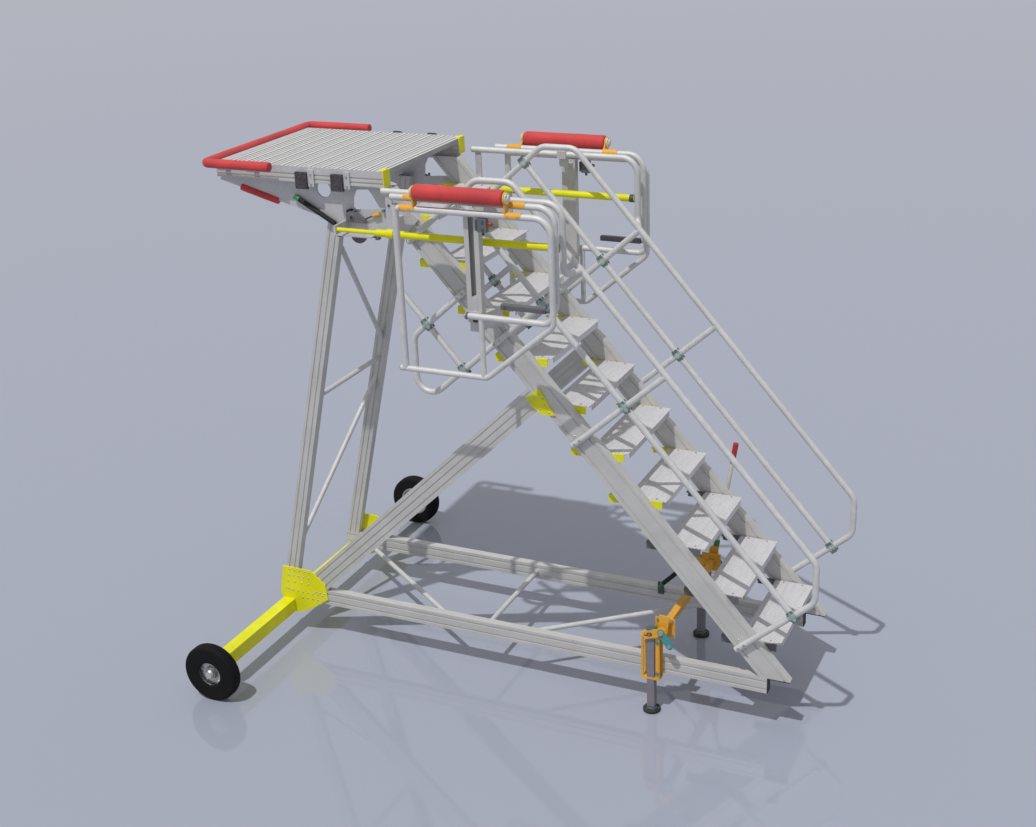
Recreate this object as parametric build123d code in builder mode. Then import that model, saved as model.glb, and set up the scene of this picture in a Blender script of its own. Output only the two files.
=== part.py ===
from build123d import *
import os
from math import atan2, cos, degrees, radians, sin

os.makedirs("parts", exist_ok=True)

# Maintenance access platform, mm. X runs from the rear axle to the foot of the stair,
# Z up from the floor, Y across. Every side piece is built at +Y or -Y and mirrored.
# Pieces are drawn with X = 0 at the axle and saved with the floor's middle as origin.

# Sections used all over
tube_d = 35.0
tube_r = tube_d / 2
tube_wall = 2.5
inner_tube_r = 16.0
bend_r = 90.0
beam_w = 50.0
wall = 3.0
groove_w = 12.0
groove_deep = 4.0
press = 0.2
running_fit = 0.4

# Wheels and axle
tyre_r = 176.0
tyre_w = 76.0
rim_r = 100.0
wheel_y = 1257.0
axle_beam_w = 80.0
axle_beam_h = 85.0
axle_wall = 5.0
axle_beam_end = wheel_y - 132
stub_r = 20.0
stub_end = wheel_y + 45

# Base frame
frame_in = 362.0
frame_out = frame_in + beam_w
axle_clearance = 150.0
rail_bottom = axle_clearance + axle_beam_h
rail_h = 97.0
rail_top = rail_bottom + rail_h
rail_start = -40.0
cap_t = 5.0

# Stair: slope and steps
rise = 250.0
going = 218.0
step_count = 10
first_nose = 3140.0
first_top = 524.0
tread_deep = 224.0
tread_t = 4.0
tread_lip = 34.0
slope = atan2(rise, going)
deck_top = first_top + step_count * rise
rail_end = first_nose - 55


# A point s down the stair slope and n square to it, as X and Z
def slope_point(s, n):
    return (n * sin(slope) + s * cos(slope), n * cos(slope) - s * sin(slope))


# The line through the noses, and the slope positions of the first and the last nose
nose_n = first_nose * sin(slope) + first_top * cos(slope)
nose_s = first_nose * cos(slope) - first_top * sin(slope)
last_s = nose_s - step_count * (rise ** 2 + going ** 2) ** 0.5
stringer_deep = 130.0
stringer_high = nose_n - 71
stringer_low = stringer_high - stringer_deep

# Rear posts and diagonals
post_deep = 85.0
post_foot_x = 10.0
diagonal_deep = 130.0
diagonal_foot_x = 181.0
knee_s = nose_s - 1883

# Deck
deck_rail_w = 72.0
deck_rail_h = 60.0
plank_h = 27.0
deck_rail_top = deck_top - plank_h
deck_rail_bottom = deck_rail_top - deck_rail_h
deck_rail_out = frame_out + deck_rail_w
deck_end = first_nose - step_count * going - 22
deck_start = deck_end - 1073
stringer_top = deck_rail_bottom - 12
post_top = deck_rail_bottom - 77
post_lean = (deck_end - 334 - post_foot_x) / (post_top - rail_top)
plank_count = 12
plank_gap = 3.0
plank_inset = 1.0
edge_t = 6.0
front_beam = 40.0
plate_t = 10.0
bumper_r = 27.0
bumper_x = deck_start - 29
bumper_y = deck_rail_out + 64
bumper_z = deck_top + 1
bumper_end = deck_start + 403

# Handrails, all on one plane outside the stringers
hand_y = frame_out + tube_r
hand_n = nose_n + 518
mid_n = nose_n + 214
low_n = nose_n - 435
front_x = first_nose + 197
top_z = deck_top - 23
foot_s = nose_s - 123
post_s = nose_s - 1549
loop_s = last_s + 1072
arm_s = last_s + 749
head_s = last_s + 346
loop_x = deck_end + 95
clamp_wall = 4.0
clamp_len = 25.0

# Side guards
hoop_y = deck_rail_out + 58.5
hoop_z = deck_rail_bottom - 1
hoop_start = deck_end + 23
hoop_x = deck_end + 1062
bar_y = hoop_y + 2.5
bar_z = hoop_z - 231
bar_r = 20.0
bar_start = deck_end - 23
rod_r = 12.0
rod_start = deck_end - 293
rod_end = deck_end + 297
guard_y = hoop_y + 149.5
guard_rear_y = guard_y - 52
guard_top = hoop_z - 43
guard_bottom = guard_top - 886
guard_left = hoop_x - 880
guard_knee = hoop_x - 390
guard_low = guard_bottom + 336
guide_x0 = hoop_x - 500
guide_x1 = guide_x0 + 84
guide_y0 = guard_y - 70
guide_y1 = guard_y - 26
guide_z0 = guard_low - 43
guide_z1 = guard_top - 3
guard_mid = guide_x1 + 6
roller_r = 43.0
roller_x0 = guard_left + 123
roller_x1 = roller_x0 + 507
roller_z = guard_top + 91
roller_axle_r = 8.0
bracket_t = 8.0
strap_t = 4.0
strap_len = 90.0

# Jacks, cross shaft and lever
leg_x = first_nose - 710
leg_w = 44.0
leg_y = frame_out + leg_w / 2 + 14
leg_top = rail_top + 208
leg_play = 0.5
pad_h = 34.0
pad_r = 50.0
pad_t = 20.0
shaft_x = leg_x + 70
shaft_z = rail_top + 203
shaft_w = 40.0
journal_r = 15.0
running = 0.06
cam_y = leg_y + leg_w / 2 + 7
cam_t = 8.0
cam_half = 24.0
cam_drop = radians(20.0)
link_t = 8.0
link_half = 21.0
link_len = 88.0
link_drop = radians(55.0)
pin_r = 8.0
slot_half = 13.0
lever_r = 12.0
lever_lean = radians(9.3)
lever_foot = 60.0
lever_top = 776.0
grip_len = 118.0
grip_r = 16.0
spring_y = frame_in - 22
spring_foot = (shaft_x - 300, shaft_z - 183)
spring_eye = (shaft_x - 60, shaft_z + 65)
spring_r = 14.0
spring_len = 215.0
spring_rod_r = 5.0


# The floor's middle, as the X of the origin that pieces are saved with
middle_x = (bumper_x - bumper_r + front_x + tube_r) / 2


def save(piece):
    placed = Pos(-middle_x, 0, 0) * piece
    placed.label = piece.label
    export_step(placed, "parts/" + piece.label + ".step")


# Grooved hollow section of one extruded beam, set across the beam
def beam_section(width, deep, grooves):
    Rectangle(width, deep)
    for at in grooves:
        for edge in (-width / 2 + groove_deep / 2, width / 2 - groove_deep / 2):
            with Locations((edge, at * deep)):
                Rectangle(groove_deep, groove_w, mode=Mode.SUBTRACT)
    Rectangle(width - 2 * (wall + groove_deep), deep - 2 * wall, mode=Mode.SUBTRACT)


# Base rails
with BuildPart() as base_rails:
    middle = (frame_in + frame_out) / 2
    with BuildSketch(Plane((rail_start, middle, rail_bottom + rail_h / 2), x_dir=(0, 1, 0), z_dir=(1, 0, 0))):
        beam_section(beam_w, rail_h, (-0.25, 0.25))
    extrude(amount=rail_end - rail_start)
    mirror(about=Plane.XZ)
base_rails.part.label = "base_rails"
save(base_rails.part)

# Rear posts, leaning back towards the deck
with BuildPart() as rear_posts:
    with BuildSketch(Plane((post_foot_x, (frame_in + frame_out) / 2, rail_top), x_dir=(0, 1, 0), z_dir=(0, 0, 1))):
        beam_section(beam_w, post_deep, (-0.22, 0.22))
    extrude(amount=post_top - rail_top, dir=(post_lean, 0, 1))
    mirror(about=Plane.XZ)
rear_posts.part.label = "rear_posts"
save(rear_posts.part)

# Diagonals from the rear corners up to the stringers
knee_at = slope_point(knee_s, stringer_low)
with BuildPart() as diagonal_beams:
    along = Vector(knee_at[0] - diagonal_foot_x, 0, knee_at[1] - rail_top).normalized()
    with BuildSketch(Plane((diagonal_foot_x, (frame_in + frame_out) / 2, rail_top), x_dir=(0, 1, 0), z_dir=along)):
        beam_section(beam_w, diagonal_deep, (-0.3, 0, 0.3))
    extrude(amount=1.2 * (knee_at[0] - diagonal_foot_x) / along.X, both=True)
    low_edge = slope_point(0, stringer_low)
    split(bisect_by=Plane((0, 0, rail_top), z_dir=(0, 0, 1)), keep=Keep.TOP)
    split(bisect_by=Plane((low_edge[0], 0, low_edge[1]), z_dir=(-sin(slope), 0, -cos(slope))), keep=Keep.TOP)
    mirror(about=Plane.XZ)
diagonal_beams.part.label = "diagonal_beams"
save(diagonal_beams.part)

# Stair stringers
with BuildPart() as stringers:
    start = slope_point(foot_s + 420, (stringer_low + stringer_high) / 2)
    up_slope = (-cos(slope), 0, sin(slope))
    with BuildSketch(Plane((start[0], (frame_in + frame_out) / 2, start[1]), x_dir=(0, 1, 0), z_dir=up_slope)):
        beam_section(beam_w, stringer_deep, (-0.32, 0.32))
    extrude(amount=foot_s - last_s + 1100)
    split(bisect_by=Plane((0, 0, rail_top), z_dir=(0, 0, 1)), keep=Keep.TOP)
    split(bisect_by=Plane((0, 0, stringer_top), z_dir=(0, 0, -1)), keep=Keep.TOP)
    mirror(about=Plane.XZ)
stringers.part.label = "stringers"
save(stringers.part)

# Rubber under the stringer feet and over the rail ends
with BuildPart() as foot_rubbers:
    foot_front = (stringer_high - rail_top * cos(slope)) / sin(slope)
    for y in (-1, 1):
        with BuildSketch(Plane.XZ.offset(-y * frame_in if y > 0 else frame_out)):
            with BuildLine():
                Polyline(
                    (rail_end, rail_bottom),
                    (rail_end + cap_t, rail_bottom),
                    (rail_end + cap_t, rail_top - cap_t),
                    (foot_front, rail_top - cap_t),
                    (foot_front, rail_top),
                    (rail_end, rail_top),
                    close=True,
                )
            make_face()
        extrude(amount=-beam_w)
foot_rubbers.part.label = "foot_rubbers"
save(foot_rubbers.part)

# Axle beam with its two stubs
with BuildPart() as axle_beam:
    with Locations((0, 0, rail_bottom - axle_beam_h / 2)):
        Box(axle_beam_w, 2 * axle_beam_end, axle_beam_h)
        Box(axle_beam_w - 2 * axle_wall, 2 * (axle_beam_end - axle_wall), axle_beam_h - 2 * axle_wall,
            mode=Mode.SUBTRACT)
    for y in (-1, 1):
        with BuildSketch(Plane((0, y * axle_beam_end, tyre_r), z_dir=(0, y, 0))):
            Circle(stub_r)
        extrude(amount=stub_end - axle_beam_end)
axle_beam.part.label = "axle_beam"
save(axle_beam.part)

# Gusset plates: fans at the rear corners, small ones where the diagonals meet the stringers
gusset_t = 8.0
fan = [
    (-60, rail_bottom + 41), (-28, rail_top + 123), (173, rail_top + 123), (272, rail_top + 40),
    (285, rail_bottom + 37), (167, rail_bottom - 43), (73, rail_bottom - 91),
    (axle_beam_w / 2, rail_bottom - 91), (axle_beam_w / 2, rail_bottom), (-52, rail_bottom),
]
knee = [(-51, -11), (29, 57), (117, -89), (49, -95), (-16, -54)]
knee = [(knee_at[0] + x, knee_at[1] + z) for x, z in knee]
with BuildPart() as gusset_plates:
    for outline in (fan, knee):
        with BuildSketch(Plane.XZ.offset(frame_out)) as plate:
            with BuildLine():
                Polyline(*outline, close=True)
            make_face()
        extrude(amount=gusset_t)
    mirror(about=Plane.XZ)
gusset_plates.part.label = "gusset_plates"
save(gusset_plates.part)

# Brace tubes: across the base, and zigzag between the posts. Ends as X, Z at -Y, then X, Z at +Y
brace_r = 15.0
rail_mid = rail_bottom + rail_h / 2
base_mid = 0.4415 * rail_end
braces = [
    (base_mid - 242, rail_mid, 104, rail_mid),
    (base_mid, rail_mid, base_mid, rail_mid),
    (base_mid + 243, rail_mid, leg_x + 85, rail_mid),
]
post_h = post_top - rail_top
for near, far in ((0.897, 0.565), (0.506, 0.506), (0.102, 0.450)):
    near_x, far_x = (post_foot_x + post_lean * post_h * share for share in (near, far))
    braces.append((near_x, rail_top + post_h * near, far_x, rail_top + post_h * far))
with BuildPart() as brace_tubes:
    for x0, z0, x1, z1 in braces:
        a, b = Vector(x0, -frame_in, z0), Vector(x1, frame_in, z1)
        reach = (b - a).normalized() * 60
        with BuildSketch(Plane(a - reach, z_dir=b - a)):
            Circle(brace_r)
            Circle(brace_r - tube_wall, mode=Mode.SUBTRACT)
        extrude(amount=(b - a).length + 120)
    split(bisect_by=Plane((0, -frame_in, 0), z_dir=(0, 1, 0)), keep=Keep.TOP)
    split(bisect_by=Plane((0, frame_in, 0), z_dir=(0, -1, 0)), keep=Keep.TOP)
brace_tubes.part.label = "brace_tubes"
save(brace_tubes.part)

# Treads: folded plates open below, lips cut back at the sides where the brackets run
tread_half = frame_in - 8
lip_half = frame_in - 42
with BuildPart() as treads:
    for i in range(step_count):
        nose, top = first_nose - i * going, first_top + i * rise
        with Locations((nose - tread_deep / 2, 0, top - tread_t / 2)):
            Box(tread_deep, 2 * tread_half, tread_t)
        for x in (nose - tread_t / 2, nose - tread_deep + tread_t / 2):
            with Locations((x, 0, top - tread_lip / 2)):
                Box(tread_t, 2 * lip_half, tread_lip)
treads.part.label = "treads"
save(treads.part)

# Tread brackets: angles along the inner faces of the stringers
bracket_back = 333.0
bracket_front = 22.0
bracket_h = 42.0
bracket_w = 36.0
angle_t = 6.0
with BuildPart() as tread_brackets:
    for i in range(3, step_count):
        nose, seat = first_nose - i * going, first_top + i * rise - tread_t
        with BuildSketch(Plane((nose - bracket_back, 0, seat), x_dir=(0, 1, 0), z_dir=(1, 0, 0))):
            with Locations((frame_in - angle_t / 2, -bracket_h / 2)):
                Rectangle(angle_t, bracket_h)
            with Locations((frame_in - bracket_w / 2, -angle_t / 2)):
                Rectangle(bracket_w, angle_t)
        extrude(amount=bracket_back - bracket_front)
    mirror(about=Plane.XZ)
tread_brackets.part.label = "tread_brackets"
save(tread_brackets.part)

with BuildPart() as low_tread_brackets:
    for i in range(3):
        nose, seat = first_nose - i * going, first_top + i * rise - tread_t
        with BuildSketch(Plane((nose - bracket_back, 0, seat), x_dir=(0, 1, 0), z_dir=(1, 0, 0))):
            with Locations((frame_in - angle_t / 2, -bracket_h / 2)):
                Rectangle(angle_t, bracket_h)
            with Locations((frame_in - bracket_w / 2, -angle_t / 2)):
                Rectangle(bracket_w, angle_t)
        extrude(amount=bracket_back - bracket_front)
    mirror(about=Plane.XZ)
low_tread_brackets.part.label = "low_tread_brackets"
save(low_tread_brackets.part)

# Deck rails, the beams across under the planks, clamp plates and the strips that carry the bumper
deck_mid_y = (frame_out + deck_rail_out) / 2
plank_start = deck_start + front_beam
plank_half = deck_rail_out - edge_t - plank_inset
strip_t = 8.0
foam_gap = 0.3
stop_w = 74.0
stop_h = 92.0
stop_xs = (deck_start + 529, deck_start + 756)
strip_top = bumper_z - bumper_r - foam_gap
with BuildPart() as deck_rails:
    with BuildSketch(Plane((deck_start, deck_mid_y, deck_rail_bottom + deck_rail_h / 2),
                           x_dir=(0, 1, 0), z_dir=(1, 0, 0))):
        beam_section(deck_rail_w, deck_rail_h, (-0.2, 0.2))
    extrude(amount=deck_end - deck_start)
    mirror(about=Plane.XZ)
deck_rails.part.label = "deck_rails"
save(deck_rails.part)

with BuildPart() as deck_beams:
    for side in (-1, 1):
        for x in (deck_start + 75, deck_start + 265):
            with Locations((x, side * (deck_rail_out + bumper_y) / 2, strip_top - strip_t / 2)):
                Box(36, bumper_y - deck_rail_out, strip_t)
        for stop_x in stop_xs:
            with Locations((stop_x + stop_w + 20, side * (deck_rail_out + 4), deck_top - stop_h / 2 - 14)):
                Box(38, 8, stop_h)
        with Locations(((deck_start + deck_end) / 2, side * (deck_rail_out - edge_t / 2), (deck_rail_top + deck_top) / 2)):
            Box(deck_end - deck_start, edge_t, plank_h)
    for x in (deck_start + front_beam / 2, deck_start + 385, deck_start + 690):
        with Locations((x, 0, deck_rail_bottom + deck_rail_h / 2)):
            Box(front_beam, 2 * frame_out, deck_rail_h)
    with Locations((deck_start + front_beam / 2, 0, (deck_rail_top + deck_top) / 2)):
        Box(front_beam, 2 * (deck_rail_out - edge_t), plank_h)
    for y in (-300, 0, 300):
        with Locations(((bumper_x + deck_start) / 2, y, strip_top - strip_t / 2)):
            Box(deck_start - bumper_x, 36, strip_t)
deck_beams.part.label = "deck_beams"
save(deck_beams.part)

with BuildPart() as deck_caps:
    for side in (-1, 1):
        with Locations((deck_end + cap_t / 2, side * deck_mid_y, (deck_rail_bottom + deck_top) / 2)):
            Box(cap_t, deck_rail_w, deck_top - deck_rail_bottom)
        lip_in = frame_out + plate_t + 1
        for z in (deck_rail_bottom - cap_t / 2, deck_top + cap_t / 2):
            with Locations((deck_end - 10, side * (lip_in + deck_rail_out) / 2, z)):
                Box(20 + 2 * cap_t, deck_rail_out - lip_in, cap_t)
deck_caps.part.label = "deck_caps"
save(deck_caps.part)

# Deck planks: ribbed channels across the rails
plank_w = (deck_end - plank_start + plank_gap) / plank_count - plank_gap
with BuildPart() as deck_planks:
    for i in range(plank_count):
        x = plank_start + i * (plank_w + plank_gap) + plank_w / 2
        with BuildSketch(Plane((x, plank_half, deck_rail_top + plank_h / 2), x_dir=(1, 0, 0), z_dir=(0, -1, 0))):
            Rectangle(plank_w, plank_h)
            with Locations((0, -wall)):
                Rectangle(plank_w - 2 * wall, plank_h - wall - groove_deep, mode=Mode.SUBTRACT)
            with Locations((-plank_w / 4, plank_h / 2), (plank_w / 4, plank_h / 2)):
                Rectangle(8, 4, mode=Mode.SUBTRACT)
        extrude(amount=2 * plank_half)
deck_planks.part.label = "deck_planks"
save(deck_planks.part)

# Side plates below the deck. Corners are given
# as X past the deck's end and Z below the rails, with a slot, a round hole and a foot flange
plate_outline = [
    (-1078, 0), (-1103, -32), (-363, -224), (-356, -287), (62, -287), (167, -177), (97, -124), (7, 0),
]
plate_slot = [(-237, -150), (-232, -84), (-210, -37), (-128, -30), (-63, -138)]
flange_w = 60.0
flange_t = 8.0
hole_r = 44.0
plate_outline, plate_slot = (
    [(deck_end + x, deck_rail_bottom + z) for x, z in points] for points in (plate_outline, plate_slot)
)
with BuildPart() as side_plates:
    with BuildSketch(Plane.XZ.offset(frame_out)):
        with BuildLine():
            Polyline(*plate_outline, close=True)
        make_face()
        with BuildLine():
            Polyline(*plate_slot, close=True)
        make_face(mode=Mode.SUBTRACT)
        with Locations((deck_end - 417, deck_rail_bottom - hole_r - 5)):
            Circle(hole_r, mode=Mode.SUBTRACT)
    extrude(amount=plate_t)
    with Locations((deck_end - 225, -frame_out - plate_t - flange_w / 2, plate_outline[3][1] + flange_t / 2)):
        Box(250, flange_w, flange_t)
    mirror(about=Plane.XZ)
side_plates.part.label = "side_plates"
save(side_plates.part)

# Soft bumper around the free edge of the deck
with BuildPart() as bumper:
    with BuildLine() as route:
        FilletPolyline(
            (bumper_end, -bumper_y, bumper_z),
            (bumper_x, -bumper_y, bumper_z),
            (bumper_x, bumper_y, bumper_z),
            (bumper_end, bumper_y, bumper_z),
            radius=30,
        )
    with BuildSketch(route.line ^ 0):
        Circle(bumper_r)
    sweep()
bumper.part.label = "bumper"
save(bumper.part)

# Soft sleeves over the slanted lower edge of the side plates
edge_a, edge_b = plate_outline[1], plate_outline[2]
edge_dir = Vector(edge_b[0] - edge_a[0], 0, edge_b[1] - edge_a[1]).normalized()
sleeve_r = 22.0
with BuildPart() as edge_sleeves:
    start = Vector(edge_a[0], -frame_out - plate_t / 2, edge_a[1]) + edge_dir * 145
    with BuildSketch(Plane(start, x_dir=(0, 1, 0), z_dir=edge_dir)):
        Circle(sleeve_r)
        with Locations((0, sleeve_r / 2 - foam_gap)):
            Rectangle(plate_t + 2 * foam_gap, sleeve_r + 2, mode=Mode.SUBTRACT)
    extrude(amount=255)
    mirror(about=Plane.XZ)
edge_sleeves.part.label = "edge_sleeves"
save(edge_sleeves.part)

# Rubber stops on the deck rails
with BuildPart() as rail_stops:
    for stop_x in stop_xs:
        with Locations((stop_x + stop_w / 2, -deck_rail_out - 10, deck_top - stop_h / 2 - 28)):
            Box(stop_w, 20, stop_h)
    mirror(about=Plane.XZ)
rail_stops.part.label = "rail_stops"
save(rail_stops.part)

# Gas struts and latches on the side plates
strut_y = frame_out + plate_t + 15
strut_a = (deck_end - 593, deck_rail_bottom - 99)
strut_b = (deck_end - 338, deck_rail_bottom - 240)
with BuildPart() as deck_struts:
    for x, z in (strut_a, strut_b):
        with BuildSketch(Plane((x, -frame_out - plate_t, z), z_dir=(0, -1, 0))):
            Circle(9)
        extrude(amount=24)
    a, b = Vector(strut_a[0], -strut_y, strut_a[1]), Vector(strut_b[0], -strut_y, strut_b[1])
    run = (b - a).normalized()
    with BuildSketch(Plane(a, z_dir=b - a)):
        Circle(5)
    extrude(amount=(b - a).length)
    with BuildSketch(Plane(a + run * 28, z_dir=b - a)):
        Circle(14)
    extrude(amount=(b - a).length - 44)
    latch_at = (deck_end - 222, deck_rail_bottom - 185)
    with BuildSketch(Plane.XZ.offset(frame_out + plate_t)):
        with BuildLine():
            Polyline(
                (latch_at[0] - 46, latch_at[1] - 22), (latch_at[0] + 52, latch_at[1] - 22),
                (latch_at[0] + 42, latch_at[1] - 4), (latch_at[0] - 22, latch_at[1] + 42),
                (latch_at[0] - 46, latch_at[1] + 36), close=True,
            )
        make_face()
    extrude(amount=24)
    mirror(about=Plane.XZ)
deck_struts.part.label = "deck_struts"
save(deck_struts.part)

# Handrails, one fused frame of tube on each side

# Where a line of constant s or n meets a plumb line at x, or a level line at z
def on_s_at_x(s, x):
    return slope_point(s, (x - s * cos(slope)) / sin(slope))


def on_s_at_z(s, z):
    return slope_point(s, (z + s * sin(slope)) / cos(slope))


def on_n_at_x(n, x):
    return slope_point((x - n * sin(slope)) / cos(slope), n)


def on_n_at_z(n, z):
    return slope_point((n * cos(slope) - z) / sin(slope), n)


foot_bolt_r = 13.0
main_route = [
    slope_point(foot_s, stringer_low + 5),
    on_s_at_x(foot_s, front_x),
    on_n_at_x(hand_n, front_x),
    on_n_at_z(hand_n, top_z),
    on_s_at_z(head_s, top_z),
    slope_point(head_s, stringer_low + 5),
]
loop_route = [
    slope_point(loop_s, hand_n),
    on_s_at_x(loop_s, loop_x),
    on_s_at_x(arm_s, loop_x),
    slope_point(arm_s, stringer_high - 40),
]


# A straight tube in the side plane from one X, Z point to another
def side_tube(a, b, y, radius=tube_r):
    start, end = Vector(a[0], y, a[1]), Vector(b[0], y, b[1])
    with BuildSketch(Plane(start, z_dir=end - start)) as disc:
        Circle(radius)
    extrude(disc.sketch, amount=(end - start).length)


for side, name in ((-1, "right"), (1, "left")):
    with BuildPart() as handrail:
        for route_points in (main_route, loop_route):
            with BuildLine(Plane.XZ.offset(-side * hand_y)) as route:
                FilletPolyline(*route_points, radius=bend_r)
            with BuildSketch(route.line ^ 0):
                Circle(tube_r)
            sweep()
        side_tube(slope_point(post_s, stringer_low + 5), slope_point(post_s, hand_n), side * hand_y)
        side_tube(slope_point(head_s, mid_n), slope_point(foot_s, mid_n), side * hand_y)
        side_tube(slope_point(arm_s - 220, low_n), slope_point(loop_s, low_n), side * hand_y)
        for s in (foot_s, post_s, loop_s, arm_s, head_s):
            for n in (stringer_low + 28, stringer_high - 62):
                x, z = slope_point(s, n)
                with BuildSketch(Plane((x, side * frame_out, z), z_dir=(0, side, 0))) as spacer:
                    Circle(foot_bolt_r)
                extrude(spacer.sketch, amount=tube_r)
    handrail.part.label = "handrail_" + name
    save(handrail.part)

# Clamps: sleeves where tubes cross
clamp_half = tube_r + press + clamp_wall
crossings = [(s, mid_n) for s in (foot_s, post_s, loop_s, head_s)] + [(arm_s, low_n), (loop_s, low_n)]
along_s, along_n = (cos(slope), 0, -sin(slope)), (sin(slope), 0, cos(slope))
with BuildPart() as rail_clamps:
    for s, n in crossings:
        x, z = slope_point(s, n)
        for way in (along_s, along_n):
            with BuildSketch(Plane((x, -hand_y, z), z_dir=way)):
                Circle(clamp_half)
            extrude(amount=clamp_len, both=True)
    for s, n in crossings:
        x, z = slope_point(s, n)
        for way in (along_s, along_n):
            with BuildSketch(Plane((x, -hand_y, z), z_dir=way)):
                Circle(tube_r + press)
            extrude(amount=2 * clamp_len, both=True, mode=Mode.SUBTRACT)
    split(bisect_by=Plane((0, -frame_out, 0), z_dir=(0, -1, 0)), keep=Keep.TOP)
    mirror(about=Plane.XZ)
rail_clamps.part.label = "rail_clamps"
save(rail_clamps.part)

# Fixed side hoops: along beside the deck, down and in to the handrails
hoop_foot = on_n_at_z(hand_n, deck_top - 464)
for side, name in ((-1, "right"), (1, "left")):
    with BuildPart() as hoop:
        with BuildLine() as route:
            FilletPolyline(
                (hoop_start, side * hoop_y, hoop_z),
                (hoop_x, side * hoop_y, hoop_z),
                (hoop_x, side * hoop_y, hoop_foot[1]),
                (hoop_foot[0], side * hand_y, hoop_foot[1]),
                radius=[bend_r, 50],
            )
        with BuildSketch(route.line ^ 0):
            Circle(tube_r)
            Circle(tube_r - tube_wall, mode=Mode.SUBTRACT)
        sweep()
        with BuildSketch(Plane((hoop_foot[0], side * hand_y, hoop_foot[1]),
                               z_dir=(cos(slope), 0, -sin(slope)))):
            Circle(tube_r + press)
        extrude(amount=150, both=True, mode=Mode.SUBTRACT)
        post_at = slope_point(loop_s, hand_n - 100)
        with BuildSketch(Plane((post_at[0], side * hand_y, post_at[1]), z_dir=(sin(slope), 0, cos(slope)))):
            Circle(tube_r + press)
        extrude(amount=130, both=True, mode=Mode.SUBTRACT)
        split(bisect_by=Plane((0, side * hand_y, 0), z_dir=(0, side, 0)), keep=Keep.TOP)
    hoop.part.label = "hoop_" + name
    save(hoop.part)

# Outer tubes of the telescoping bars, with a bush at the open end
bush_len = 30.0
with BuildPart() as bar_tubes:
    bar_end = hoop_x - tube_r - press
    with BuildSketch(Plane.XY.offset(bar_z)):
        with BuildLine():
            Polyline(
                (bar_start, -bar_y + rod_r + running_fit),
                (bar_start, -bar_y + bar_r),
                (bar_end, -bar_y + bar_r),
                (bar_end, -bar_y),
                (bar_end - 20, -bar_y),
                (bar_end - 20, -bar_y + bar_r - wall),
                (bar_start + bush_len, -bar_y + bar_r - wall),
                (bar_start + bush_len, -bar_y + rod_r + running_fit),
                close=True,
            )
        make_face()
    revolve(axis=Axis((0, -bar_y, bar_z), (1, 0, 0)))
    mirror(about=Plane.XZ)
bar_tubes.part.label = "bar_tubes"
save(bar_tubes.part)

# Hangers between side plates, bars and hoops, and the keepers that take the rods' tips
hanger_x0 = deck_end + 42
hanger_x1 = hanger_x0 + 38
hanger_w = hanger_x1 - hanger_x0
keeper_x, keeper_t = rod_start + 15, 12.0
with BuildPart() as hangers:
    with Locations(((hanger_x0 + hanger_x1) / 2, -hoop_y, (bar_z + hoop_z) / 2)):
        Box(hanger_w, 8, hoop_z - bar_z)
    with BuildSketch(Plane((hanger_x0, -bar_y, bar_z), z_dir=(1, 0, 0))):
        Circle(bar_r + clamp_wall)
    extrude(amount=hanger_w)
    with Locations(((hanger_x0 + hanger_x1) / 2, -(frame_out + plate_t + hoop_y) / 2, bar_z + 60)):
        Box(30, hoop_y - frame_out - plate_t, 24)
    for x, y, z, r in ((hanger_x0 - 1, -bar_y, bar_z, bar_r), (hanger_x0 - 1, -hoop_y, hoop_z, tube_r)):
        with BuildSketch(Plane((x, y, z), z_dir=(1, 0, 0))):
            Circle(r + press)
        extrude(amount=hanger_w + 2, mode=Mode.SUBTRACT)
    with Locations((hanger_x0 + 20, -hoop_y, hoop_z + 40)):
        Box(200, 80, 80, mode=Mode.SUBTRACT)
    keeper_out = bar_y + rod_r + 8
    with Locations((keeper_x, -(frame_out + plate_t + keeper_out) / 2, bar_z)):
        Box(keeper_t, keeper_out - frame_out - plate_t, 50)
    with BuildSketch(Plane((keeper_x - keeper_t, -bar_y, bar_z), z_dir=(1, 0, 0))):
        Circle(rod_r + running_fit)
    extrude(amount=2 * keeper_t, mode=Mode.SUBTRACT)
    mirror(about=Plane.XZ)
hangers.part.label = "hangers"
save(hangers.part)

# Inner rods
for side, name in ((-1, "right"), (1, "left")):
    with BuildPart() as rod:
        with BuildSketch(Plane((rod_start, side * bar_y, bar_z), z_dir=(1, 0, 0))):
            Circle(rod_r)
        extrude(amount=rod_end - rod_start)
        chamfer(rod.faces().sort_by(Axis.X)[0].edges(), length=3)
    rod.part.label = "bar_rod_" + name
    save(rod.part)

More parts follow.
